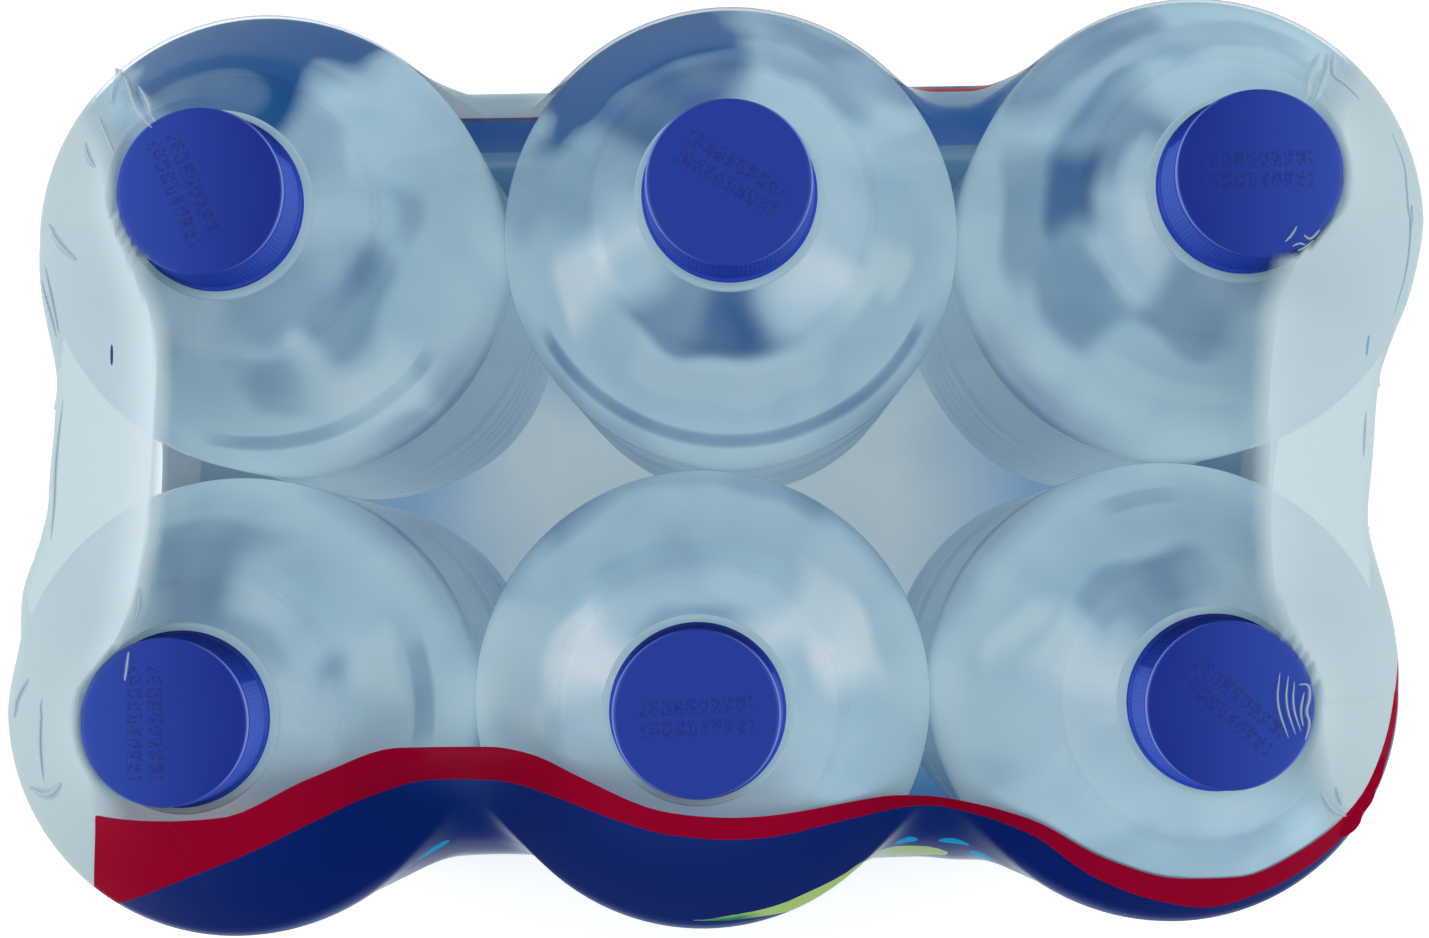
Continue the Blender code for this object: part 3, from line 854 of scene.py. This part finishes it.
def film_haze(points):
    """Share of milky film at each point: next to none over the bottles and most of it down the two ends.

    At each end it starts at a line that runs out to the corners, with a painted highlight along a crest just past
    that line, and it lies in the valleys of the back too.
    """
    haze = []
    for x, y, z in points:
        line = smooth_read(LEFT_HAZE_LINE if x < 0 else RIGHT_HAZE_LINE, y)
        beyond = min(max((abs(x) - line - 0.0005) / (0.004 + 0.16 * max(abs(y) - 0.025, 0.0)), 0.0), 1.0)
        radius = nearest_axis(x, y)
        below = min(max((radius - 0.0149) / 0.0003, 0.0), 1.0)
        # Painted highlight along the crest, weaker at the right end
        crest_highlight = math.exp(-((abs(x) - line - 0.0030) / CREST_HIGHLIGHT_WIDTH) ** 2) * min(max((0.060 - abs(y)) / 0.03, 0.0), 1.0)
        crest_highlight *= 1.0 if x < 0 else 0.4
        share = SKIN_HAZE + (END_HAZE + CREST_HIGHLIGHT_HAZE * crest_highlight - SKIN_HAZE) * beyond * below
        if y > 0.055:
            off = min(max((radius - 0.0440) / 0.002, 0.0), 1.0)
            beside = min(max((x + 0.060) / 0.020, 0.2), 1.0)
            share = max(share, WALL_HAZE * beside * (1.0 - off) * min(max((0.239 - z) / 0.008, 0.0), 1.0))
            share = max(share, BACK_HAZE * off * min(max((0.225 - z) / 0.006, 0.0), 1.0))
        off = min(max((radius - 0.038) / 0.010, 0.0), 1.0) * min(max((0.040 - abs(y)) / 0.02, 0.0), 1.0)
        haze.append(max(share, ROOF_HAZE * off * (z > 0.28)))
    return np.array(haze)


def under_tone(points):
    """0 away from the underside, 1 where it is pale, 2 where it is tinted blue, away from the middle, and 3 where the
    print folds under.
    """
    tones = []
    for x, y, z in points:
        sway = noise.noise(Vector((x * 40, y * 40, 3.0))) * 0.012
        blue = min(max((abs(x) + sway - 0.048) / 0.034, (abs(y) + sway - 0.022) / 0.030, 0.0), 1.0)
        navy = min(max((abs(y) + sway * 0.3 - 0.070) / 0.008, 0.0), 1.0) * (0.4 if x > 0.02 and y > 0 else 1.0)
        tones.append((1.0 + blue + navy) * (z < INK_FOOT))
    return np.array(tones)


# Folds that stand up out of the film, as (half width in mm, height in mm, (x, y) in mm along it)
FOLDS = (
    (0.8, 0.5, (-114.2, 78.5), (-108.0, 71.5), (-102.1, 63.5), (-94.3, 55.9)),
    (0.6, 0.4, (-104.8, 70.2), (-97.3, 62.1), (-93.7, 56.9)),
    (0.6, 0.3, (-114.4, 76.4), (-113.0, 72.0), (-111.0, 68.2)),
    (0.9, 1.6, (-114.2, 78.0), (-113.0, 76.6), (-111.6, 75.0)),
    (0.7, 0.4, (-114.0, 66.1), (-108.2, 59.3), (-101.4, 51.9)),
    (0.6, 0.3, (-115.9, 60.7), (-112.5, 56.0), (-108.9, 52.7)),
    (0.7, 0.4, (-126.6, 47.9), (-120.5, 41.8), (-115.0, 37.6)),
    (0.6, 0.4, (-127.5, 39.9), (-125.2, 33.0), (-124.1, 26.7)),
    (0.6, 0.3, (-129.9, 38.1), (-127.0, 31.6), (-125.2, 26.1)),
    (0.8, 0.4, (-123.9, 14.1), (-126.0, 4.0), (-126.2, -4.6), (-125.7, -12.7)),
    (0.9, 0.4, (-134.5, -46.0), (-132.1, -41.5), (-128.0, -38.4)),
    (0.8, 0.4, (-121.6, -41.6), (-123.4, -48.9), (-124.7, -57.2)),
    (0.9, 0.4, (-131.7, -59.4), (-124.0, -60.0), (-117.8, -56.6)),
    (0.6, 0.2, (-100.2, -22.0), (-99.4, -25.0), (-99.0, -28.1)),
    (0.3, 0.15, (-99.2, -32.9), (-99.5, -35.5), (-99.9, -37.8)),
    (0.7, 0.5, (114.7, 74.8), (110.5, 69.5), (105.7, 63.7), (101.1, 56.9)),
    (0.7, 0.5, (117.2, 75.7), (113.3, 68.7), (102.7, 56.5)),
    (0.6, 0.4, (119.8, 77.3), (114.0, 67.8), (116.7, 67.8), (120.2, 64.4)),
    (0.6, 0.4, (132.7, 46.5), (132.3, 44.4), (131.6, 41.1)),
    (0.5, 0.3, (123.1, 7.7), (122.9, 3.0), (122.7, -0.9)),
    (0.5, 0.3, (128.5, 60.2), (131.5, 54.3), (130.8, 48.2), (132.2, 35.5), (129.5, 26.0)),
    (0.25, 0.2, (100.6, 34.3), (101.7, 33.4), (103.3, 35.2)),
    (0.22, 0.15, (97.4, 33.2), (98.6, 34.4), (99.4, 35.8)),
    (0.2, 0.1, (98.6, 32.4), (99.8, 33.0), (100.8, 32.6)),
    (0.2, 0.1, (99.4, 31.6), (100.9, 32.3), (102.2, 33.4)),
    (0.22, 0.12, (94.9, -39.6), (94.2, -44.8), (96.1, -50.6)),
    (0.22, 0.12, (96.3, -40.1), (95.7, -44.9), (97.3, -50.0)),
    (0.22, 0.12, (97.3, -41.1), (96.9, -45.2), (98.2, -49.5)),
    (0.32, 0.3, (98.0, -41.6), (99.8, -41.5), (99.9, -44.0), (99.1, -46.2), (99.9, -48.2), (98.9, -51.0)),
    (0.25, 0.2, (98.9, -43.0), (98.2, -46.0), (98.6, -48.6)),
    (0.6, 0.4, (106.6, -61.3), (111.8, -66.0), (117.3, -68.4)),
    (0.6, 0.4, (111.1, -61.3), (114.9, -65.7)),
)
RED_FOLDS = (
    (0.8, 1.5, (117.6, -72.6), (119.6, -70.2), (121.6, -67.8)),
    (0.7, 1.2, (119.4, -69.0), (122.2, -66.6), (124.4, -63.4)),
    (0.6, 1.0, (121.6, -66.2), (124.2, -62.6), (126.0, -58.0)),
)
DASHES = (
    (0.25, 0.05, (-107.8, 21.7), (-108.0, 18.1)),
    (0.25, 0.05, (122.0, 21.3), (122.0, 17.7)),
)
FOLD_STEP = 0.0007
# Across a fold: place, rise, share of milky film, which paints a highlight along the crest, and painted shade
FOLD_PROFILE = (
    (-1.7, 0.0, 0.0, 0.0), (-0.9, 0.35, 0.30, 0.40), (0.0, 1.0, 0.85, 0.0), (0.5, 0.55, 0.20, 0.0), (1.3, 0.0, 0.0, 0.0),
)


def rounded(points):
    """A polyline with its corners cut twice, ends kept."""
    for _ in range(2):
        cut = [points[0]]
        for a, b in zip(points, points[1:]):
            cut.append(tuple(np.array(a) * 0.75 + np.array(b) * 0.25))
            cut.append(tuple(np.array(a) * 0.25 + np.array(b) * 0.75))
        points = [*cut, points[-1]]
    return points


def fold_strip(surface, width, height, line):
    """Points and faces of one fold laid on the film, and how many rows of points it has."""
    path = spread(rounded([(x / 1000, y / 1000) for x, y in line]), FOLD_STEP)
    points = []
    for i, (x, y) in enumerate(path):
        before, after = path[max(i - 1, 0)], path[min(i + 1, len(path) - 1)]
        run = math.hypot(after[0] - before[0], after[1] - before[1])
        side = (-(after[1] - before[1]) / run, (after[0] - before[0]) / run)
        taper = math.sin(math.pi * (i + 0.3) / (len(path) - 0.4)) ** 0.6
        for across, rise, _, _ in FOLD_PROFILE:
            reach = across * width / 1000 * taper
            hit, normal, _, _ = surface.ray_cast(Vector((x + side[0] * reach, y + side[1] * reach, 0.4)), (0, 0, -1))
            if hit is None or hit.z < 0.15:
                return [], [], 0
            lift = (rise * height * taper + 0.03) / 1000
            points.append(tuple(hit + normal * (lift if normal.z > 0 else -lift)))
    faces = []
    row = len(FOLD_PROFILE)
    for i in range(len(path) - 1):
        for k in range(row - 1):
            a = i * row + k
            faces.append((a, a + 1, a + 1 + row, a + row))
    return points, faces, len(path)


# Materials

def nodes_of(material):
    material.use_nodes = True
    tree = material.node_tree
    tree.nodes.clear()
    return tree


def add(tree, kind, **values):
    node = tree.nodes.new(kind)
    for key, value in values.items():
        setattr(node, key, value)
    return node


def link(tree, source, target):
    tree.links.new(source, target)


def maths(tree, operation, a, b=None, clamp=False):
    node = add(tree, "ShaderNodeMath", operation=operation, use_clamp=clamp)
    for socket, value in zip(node.inputs, (a, b)):
        if value is None:
            continue
        if isinstance(value, (int, float)):
            socket.default_value = value
        else:
            link(tree, value, socket)
    return node.outputs[0]


def principled(tree, colour, roughness, **values):
    shader = add(tree, "ShaderNodeBsdfPrincipled")
    shader.inputs["Base Color"].default_value = (*colour, 1.0)
    shader.inputs["Roughness"].default_value = roughness
    for name, value in values.items():
        shader.inputs[name.replace("_", " ")].default_value = value
    return shader


def output(tree, shader):
    link(tree, shader, add(tree, "ShaderNodeOutputMaterial").inputs["Surface"])


def cap_material():
    """Satin blue plastic with a faint dot-matrix smudge on the top, in two short rows, and painted light: a skirt
    painted lighter, a painted highlight on the rim and skirt, a top painted lighter on one side and painted shade on
    the skirt.
    """
    material = bpy.data.materials.new("cap_blue")
    tree = nodes_of(material)
    plastic = add(tree, "ShaderNodeBsdfDiffuse")
    place = add(tree, "ShaderNodeAttribute", attribute_name="code").outputs["Vector"]
    snap = add(tree, "ShaderNodeVectorMath", operation="SNAP")
    snap.inputs[1].default_value = (DOT_PITCH, DOT_PITCH, 1.0)
    link(tree, place, snap.inputs[0])
    dots = add(tree, "ShaderNodeTexWhiteNoise", noise_dimensions="3D")
    link(tree, snap.outputs[0], dots.inputs["Vector"])
    axes = add(tree, "ShaderNodeSeparateXYZ")
    link(tree, place, axes.inputs[0])
    across = maths(tree, "ABSOLUTE", axes.outputs["Y"])
    row = maths(tree, "LESS_THAN", maths(tree, "ABSOLUTE", maths(tree, "SUBTRACT", across, 0.0018)), 0.0013)
    length = maths(tree, "LESS_THAN", maths(tree, "ABSOLUTE", axes.outputs["X"]), 0.0095)
    letter = maths(tree, "GREATER_THAN", maths(tree, "FRACT", maths(tree, "MULTIPLY", axes.outputs["X"], 1 / 0.0021)), 0.22)
    top = maths(tree, "GREATER_THAN", axes.outputs["Z"], CAP_TOP - 0.0004)
    mask = maths(tree, "GREATER_THAN", dots.outputs["Value"], 0.45)
    for part in (row, length, letter, top):
        mask = maths(tree, "MULTIPLY", mask, part)
    skirt = maths(tree, "LESS_THAN", axes.outputs["Z"], CAP_TOP - 0.0008)
    # Painted light from the shine attribute: a lit colour on the top, a painted highlight on the rim and skirt and
    # painted shade on the skirt; the skirt's own colour is painted lighter too
    shine = vector_parts(tree, "shine")
    colour = layered(tree, CAP_BLUE, shine["Y"], CAP_TOP_LIT_BLUE)
    colour = layered(tree, colour, skirt, CAP_SKIRT_LIT_BLUE)
    colour = layered(tree, colour, shine["X"], CAP_RIM_HIGHLIGHT_BLUE)
    colour = layered(tree, colour, shine["Z"], CAP_SHADE_BLUE)
    colour = layered(tree, colour, maths(tree, "MULTIPLY", mask, 0.42), (0.012, 0.008, 0.09))
    link(tree, colour, plastic.inputs["Color"])
    gloss = add(tree, "ShaderNodeBsdfGlossy")
    gloss.inputs["Roughness"].default_value = 0.25
    output(tree, mix_shaders(tree, 0.022, plastic.outputs[0], gloss.outputs[0]))
    return material


def bottle_material():
    """A thin clear wall: mostly see-through, paler round the neck, with a soft gloss seen edge on."""
    material = bpy.data.materials.new("clear_bottle")
    material.cycles.emission_sampling = "NONE"
    tree = nodes_of(material)
    clear = add(tree, "ShaderNodeBsdfTransparent")
    clear.inputs["Color"].default_value = (0.94, 0.985, 0.985, 1.0)
    body = add(tree, "ShaderNodeBsdfDiffuse")
    body.inputs["Color"].default_value = (0.56, 0.72, 0.78, 1.0)
    neck = vector_parts(tree, "neck")
    share = maths(tree, "ADD", rim_share(tree, 5.0, 0.09, 0.01), neck["X"], clamp=True)
    skin = mix_shaders(tree, share, clear.outputs[0], body.outputs[0])
    # Above the drink's level the wall takes the drink's painted tones and painted glow
    skin = mix_shaders(tree, neck["Y"], skin, drink_cloud(tree, neck["Z"], MIDDLE_PAINTED_GLOW))
    shine = add(tree, "ShaderNodeBsdfGlossy")
    shine.inputs["Roughness"].default_value = 0.05
    output(tree, mix_shaders(tree, rim_share(tree, 8.0, 0.16, 0.010), skin, shine.outputs[0]))
    return material


def drink_material():
    """Clear drink that picks up a pale milky blue, painted deeper for the print that it bends and the shade between
    the bottles, painted white for the light that it bends, and given a painted glow.
    """
    material = bpy.data.materials.new("clear_drink")
    material.cycles.emission_sampling = "NONE"
    tree = nodes_of(material)
    clear = principled(tree, DRINK_TINT, 0.12, IOR=1.33, Transmission_Weight=1.0)
    tone = vector_parts(tree, "tone")
    output(tree, mix_shaders(tree, tone["Y"], clear.outputs[0], drink_cloud(tree, tone["X"], tone["Z"])))
    return material


def drink_cloud(tree, tone, glow_share):
    """Milky blue, painted deeper for a tone above 0 and painted whiter below it, with a share of painted light that
    glows by itself.
    """
    deep = maths(tree, "MAXIMUM", tone, 0.0)
    white = maths(tree, "MAXIMUM", maths(tree, "MULTIPLY", tone, -1.0), 0.0)
    colour = layered(tree, layered(tree, DRINK_MILK, deep, DRINK_PAINTED_BLUE), white, DRINK_PAINTED_WHITE)
    milk = add(tree, "ShaderNodeBsdfDiffuse")
    link(tree, colour, milk.inputs["Color"])
    through = add(tree, "ShaderNodeBsdfTranslucent")
    link(tree, colour, through.inputs["Color"])
    glow = add(tree, "ShaderNodeEmission")
    link(tree, colour, glow.inputs["Color"])
    cloud = mix_shaders(tree, 0.2, milk.outputs[0], through.outputs[0])
    return mix_shaders(tree, glow_share, cloud, glow.outputs[0])


def rim_share(tree, power, most, least):
    """A share that gathers where a surface is seen edge on."""
    facing = add(tree, "ShaderNodeLayerWeight")
    facing.inputs["Blend"].default_value = 0.5
    share = maths(tree, "POWER", facing.outputs["Facing"], power)
    share = maths(tree, "MULTIPLY_ADD", share, most)
    share.node.inputs[2].default_value = least
    return share


def mix_shaders(tree, share, first, second):
    node = add(tree, "ShaderNodeMixShader")
    if isinstance(share, (int, float)):
        node.inputs[0].default_value = share
    else:
        link(tree, share, node.inputs[0])
    link(tree, first, node.inputs[1])
    link(tree, second, node.inputs[2])
    return node.outputs[0]


def vector_parts(tree, name):
    parts = add(tree, "ShaderNodeSeparateXYZ")
    link(tree, add(tree, "ShaderNodeAttribute", attribute_name=name).outputs["Vector"], parts.inputs[0])
    return parts.outputs


def object_place(tree):
    parts = add(tree, "ShaderNodeSeparateXYZ")
    link(tree, add(tree, "ShaderNodeTexCoord").outputs["Object"], parts.inputs[0])
    return parts.outputs


def oval_mask(tree, place):
    """1 inside any of the ovals printed on the film, 0 outside."""
    nearest = None
    for centre, half_length, half_width in OVALS:
        away = add(tree, "ShaderNodeVectorMath", operation="SUBTRACT")
        link(tree, place, away.inputs[0])
        away.inputs[1].default_value = (*centre, 0.0)
        scaled = add(tree, "ShaderNodeVectorMath", operation="MULTIPLY")
        link(tree, away.outputs[0], scaled.inputs[0])
        scaled.inputs[1].default_value = (1 / half_length, 1 / half_width, 0.0)
        size = add(tree, "ShaderNodeVectorMath", operation="LENGTH")
        link(tree, scaled.outputs[0], size.inputs[0])
        size = size.outputs["Value"]
        nearest = size if nearest is None else maths(tree, "MINIMUM", nearest, size)
    return maths(tree, "LESS_THAN", nearest, 1.0)


def layered(tree, below, mask, ink):
    mix = add(tree, "ShaderNodeMix", data_type="RGBA")
    link(tree, mask, mix.inputs["Factor"])
    if isinstance(below, tuple):
        mix.inputs["A"].default_value = (*below, 1.0)
    else:
        link(tree, below, mix.inputs["A"])
    mix.inputs["B"].default_value = (*ink, 1.0)
    return mix.outputs["Result"]


def film_material():
    """Clear shrink film, milky down the ends, with a red band and a navy field printed on it, and painted light:
    painted sheens on the navy, a painted highlight along the ends' haze crests and painted shade in the back valleys
    and beside the folds.
    """
    material = bpy.data.materials.new("shrink_film")
    tree = nodes_of(material)
    sleeve = vector_parts(tree, "sleeve")
    depth = vector_parts(tree, "ink")
    clear = add(tree, "ShaderNodeBsdfTransparent")
    blue = maths(tree, "SUBTRACT", depth["Z"], 1.0, clamp=True)
    under = add(tree, "ShaderNodeMix", data_type="RGBA")
    link(tree, maths(tree, "MINIMUM", depth["Z"], 1.0), under.inputs["Factor"])
    under.inputs["A"].default_value = (0.96, 0.985, 1.0, 1.0)
    navy = maths(tree, "SUBTRACT", depth["Z"], 2.0, clamp=True)
    wash = layered(tree, layered(tree, UNDER_PALE, blue, UNDER_BLUE), navy, UNDER_NAVY)
    link(tree, wash, under.inputs["B"])
    link(tree, under.outputs["Result"], clear.inputs["Color"])
    haze = add(tree, "ShaderNodeBsdfDiffuse")
    # Painted light in the haze: a paler colour along its crests for a painted highlight, and painted shade from the
    # swoosh attribute's third part
    crest_highlight = maths(tree, "MULTIPLY", maths(tree, "SUBTRACT", sleeve["Z"], END_HAZE), 1 / CREST_HIGHLIGHT_HAZE, clamp=True)
    swoosh_and_painted_light = vector_parts(tree, "swoosh_and_painted_light")
    milky = layered(tree, layered(tree, HAZE, crest_highlight, CREST_HIGHLIGHT), swoosh_and_painted_light["Z"], SHADE)
    link(tree, milky, haze.inputs["Color"])
    share = maths(tree, "ADD", rim_share(tree, 16.0, 0.5, 0.0), sleeve["Z"], clamp=True)
    skin = mix_shaders(tree, share, clear.outputs[0], haze.outputs[0])

    colour = layered(tree, RED_INK, maths(tree, "GREATER_THAN", depth["Y"], 0.0), NAVY_INK)
    place = object_place(tree)
    navy = maths(tree, "GREATER_THAN", depth["Y"], 0.0)
    back = maths(tree, "GREATER_THAN", place["Y"], 0.0)
    inside = maths(tree, "MULTIPLY", back, add(tree, "ShaderNodeNewGeometry").outputs["Backfacing"])
    right = maths(tree, "GREATER_THAN", place["X"], BACK_RED_START)
    inside = maths(tree, "MULTIPLY", inside, maths(tree, "MAXIMUM", navy, maths(tree, "SUBTRACT", 1.0, right)))
    low = maths(tree, "MULTIPLY", maths(tree, "SUBTRACT", BACK_BLUE_TOP, place["Z"]), 1 / BACK_BLUE_FADE, clamp=True)
    colour = layered(tree, colour, inside, BACK_NAVY)
    colour = layered(tree, colour, maths(tree, "MULTIPLY", inside, low), BACK_BLUE)
    colour = layered(tree, colour, maths(tree, "MULTIPLY", inside, right), BACK_SKY)
    front = maths(tree, "MULTIPLY", navy, maths(tree, "SUBTRACT", 1.0, back))
    # Painted sheen on the front navy near the shoulders
    colour = layered(tree, colour, maths(tree, "MULTIPLY", swoosh_and_painted_light["Z"], front), SHEEN)
    green = maths(tree, "GREATER_THAN", swoosh_and_painted_light["X"], 0.0)
    colour = layered(tree, colour, green, GREEN_INK)
    colour = layered(tree, colour, maths(tree, "MULTIPLY", green, swoosh_and_painted_light["Y"]), LEAF_INK)
    # Painted sheen where the front print is seen edge on
    colour = layered(tree, colour, maths(tree, "MULTIPLY", rim_share(tree, 14.0, 0.85, 0.0), front), VALLEY_SHEEN)
    place = add(tree, "ShaderNodeAttribute", attribute_name="sleeve").outputs["Vector"]
    colour = layered(tree, colour, oval_mask(tree, place), SKY_INK)
    ink = add(tree, "ShaderNodeBsdfDiffuse")
    link(tree, colour, ink.inputs["Color"])
    glow = add(tree, "ShaderNodeBsdfTranslucent")
    link(tree, layered(tree, RED_INK, maths(tree, "GREATER_THAN", depth["Y"], 0.0), NAVY_GLOW), glow.inputs["Color"])
    inked = mix_shaders(tree, 0.15, ink.outputs[0], glow.outputs[0])
    printed = mix_shaders(tree, maths(tree, "GREATER_THAN", depth["X"], 0.0), skin, inked)

    shine = add(tree, "ShaderNodeBsdfGlossy")
    shine.inputs["Roughness"].default_value = 0.08
    output(tree, mix_shaders(tree, rim_share(tree, 26.0, 0.5, 0.001), printed, shine.outputs[0]))
    return material


# Pieces

def make_caps(material):
    points, faces = turned_mesh(cap_profile(), CAP_STEPS, cap_ribs)
    for number, (x, y) in enumerate(bottle_places(), start=1):
        cap = new_piece(f"screw_cap_{number}", points, faces, material)
        cap.location = (x, y, 0.0)
        cap.rotation_euler.z = math.radians(CAP_TURNS[number - 1])
        side = (number - 1) % COLUMNS - 1
        turn = math.radians(CAP_TURNS[number - 1])
        places = np.array(points)
        # Painted light on each cap, with its side of the pack setting which way the top is painted lighter
        add_attribute(cap.data, "shine", cap_painted_light(places, turn, side))
        shift = Matrix.Rotation(-turn, 3, "Z") @ Vector((*CODE_SHIFTS[number - 1], 0.0)) / 1000
        add_attribute(cap.data, "code", (places - np.array(shift)).T)
        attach(cap, "root")
        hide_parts(f"cap_{number}")


def make_bottles(shell_material, liquid_material):
    shell = turned_mesh(bottle_profile(), BOTTLE_STEPS, bottle_feet)
    liquid = turned_mesh(drink_profile(), DRINK_STEPS, bottle_feet)
    for number, (x, y) in enumerate(bottle_places(), start=1):
        for name, node, shape, material in (
            ("clear_bottle", "bottle", shell, shell_material),
            ("clear_drink", "drink", liquid, liquid_material),
        ):
            piece = new_piece(f"{name}_{number}", *shape, material)
            piece.location = (x, y, 0.0)
            if node == "drink":
                # Painted light in the drink: its painted tone, a milky share that deepens where the painted blue
                # lies, and its share of painted glow
                tone = drink_painted_tone(shape[0], number)
                places = np.array(shape[0])
                side = 1 if y > 0 else -1
                milk = np.maximum(drink_milk(places, side), np.clip(tone, 0.0, 1.0) * np.clip((places[:, 2] - DEEP_FROM) / 0.02, 0, 1))
                add_attribute(piece.data, "tone", (tone, milk, drink_painted_glow(places, side)))
            else:
                places = np.array(shape[0])
                above = places[:, 2] > DRINK_LEVEL - 0.004
                tone = np.zeros(len(places))
                # The wall above the level takes the drink's painted tone
                tone[above] = drink_painted_tone(places[above], number)
                add_attribute(piece.data, "neck", (*bottle_neck(places), tone))
            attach(piece, "root")
            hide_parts(f"{node}_{number}")


def add_attribute(mesh, name, columns):
    layer = mesh.attributes.new(name, "FLOAT_VECTOR", "POINT")
    layer.data.foreach_set("vector", np.stack(columns, axis=1).astype(np.float32).ravel())


def make_film(material):
    points, around, down, faces = film_grid()
    kept = round_openings(points, faces)
    red, navy = print_depths(points)
    columns = [list(c) for c in (around, down, film_haze(points), red, navy, under_tone(points), *swoosh_depths(points))]
    places = [tuple(p) for p in points]
    surface = BVHTree.FromPolygons(places, [list(map(int, f)) for f in faces])
    clear, inked = -0.05, 0.05
    for folds, red, navy in ((FOLDS, clear, clear), (RED_FOLDS, inked, clear), (DASHES, inked, inked)):
        for width, height, *line in folds:
            strip, strip_faces, rows = fold_strip(surface, width, height, line)
            kept += [tuple(len(places) + v for v in face) for face in strip_faces]
            places += strip
            # Each fold's milky share paints a highlight along its crest, and its shade paints one flank
            for _, _, share, shade in FOLD_PROFILE * rows:
                for column, value in zip(columns, (0.0, 0.0, share, red, navy, 0.0, clear, 0.0, shade)):
                    column.append(value)
    film = new_piece("film_sleeve", places, kept, material)
    add_attribute(film.data, "sleeve", columns[:3])
    add_attribute(film.data, "ink", columns[3:6])
    add_attribute(film.data, "swoosh_and_painted_light", columns[6:])
    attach(film, "root")
    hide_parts("film_wrap")
    return film


# Stage

def make_floor():
    bpy.ops.mesh.primitive_plane_add(size=6.0, location=(0.0, 0.0, -0.0004))
    floor = bpy.context.object
    floor.name = "pale_floor"
    material = bpy.data.materials.new("pale_floor")
    material.cycles.emission_sampling = "NONE"
    tree = nodes_of(material)
    surface = principled(tree, (0.85, 0.85, 0.85), 0.8, Specular_IOR_Level=0.0, Emission_Strength=FLOOR_GLOW)
    surface.inputs["Emission Color"].default_value = (1.0, 1.0, 1.0, 1.0)
    output(tree, surface.outputs[0])
    floor.data.materials.append(material)


def area_light(name, place, target, size, power):
    light = bpy.data.lights.new(name, "AREA")
    light.shape = "RECTANGLE"
    light.size, light.size_y = size
    light.energy = power
    lamp = bpy.data.objects.new(name, light)
    bpy.context.scene.collection.objects.link(lamp)
    lamp.location = place
    lamp.rotation_euler = (Vector(target) - Vector(place)).to_track_quat("-Z", "Y").to_euler()


def make_lights():
    world = bpy.data.worlds.new("studio")
    bpy.context.scene.world = world
    world.use_nodes = True
    tree = world.node_tree
    axes = add(tree, "ShaderNodeSeparateXYZ")
    link(tree, add(tree, "ShaderNodeTexCoord").outputs["Generated"], axes.inputs[0])
    height = add(tree, "ShaderNodeMapRange", interpolation_type="SMOOTHSTEP")
    link(tree, axes.outputs["Z"], height.inputs["Value"])
    height.inputs["From Min"].default_value = 0.15
    height.inputs["From Max"].default_value = 0.80
    height.inputs["To Min"].default_value = SIDE_GLOW
    height.inputs["To Max"].default_value = TOP_GLOW
    tree.nodes["Background"].inputs["Color"].default_value = (0.86, 0.95, 1.0, 1.0)
    link(tree, height.outputs["Result"], tree.nodes["Background"].inputs["Strength"])
    area_light("left_box", (-0.85, 0.0, 1.05), (0.0, 0.0, 0.2), (0.7, 0.9), BOX_POWER)
    area_light("right_box", (0.85, 0.0, 1.05), (0.0, 0.0, 0.2), (0.7, 0.9), BOX_POWER)


def make_camera():
    camera = bpy.data.cameras.new("camera")
    camera.sensor_width = SENSOR_WIDTH
    camera.lens = SENSOR_WIDTH * FOCAL_PIXELS / PHOTO_WIDTH
    camera.clip_start = 0.01
    holder = bpy.data.objects.new("camera", camera)
    bpy.context.scene.collection.objects.link(holder)
    turn = (Matrix.Rotation(-CAMERA_ROLL, 3, "Z") @ Matrix.Rotation(-CAMERA_SIDE_TILT, 3, "Y")
            @ Matrix.Rotation(CAMERA_TILT, 3, "X"))
    holder.matrix_world = Matrix.Translation(CAMERA_PLACE) @ turn.to_4x4()
    bpy.context.scene.camera = holder


def set_up_render():
    scene = bpy.context.scene
    scene.view_settings.view_transform = "Standard"
    scene.cycles.max_bounces = 4
    scene.cycles.diffuse_bounces = 2
    scene.cycles.glossy_bounces = 2
    scene.cycles.transmission_bounces = 4
    scene.cycles.transparent_max_bounces = 10


def main():
    make_camera()
    make_floor()
    make_lights()
    set_up_render()
    make_caps(cap_material())
    make_bottles(
        bottle_material(),
        drink_material(),
    )
    make_film(film_material())
    bpy.context.view_layer.update()


main()
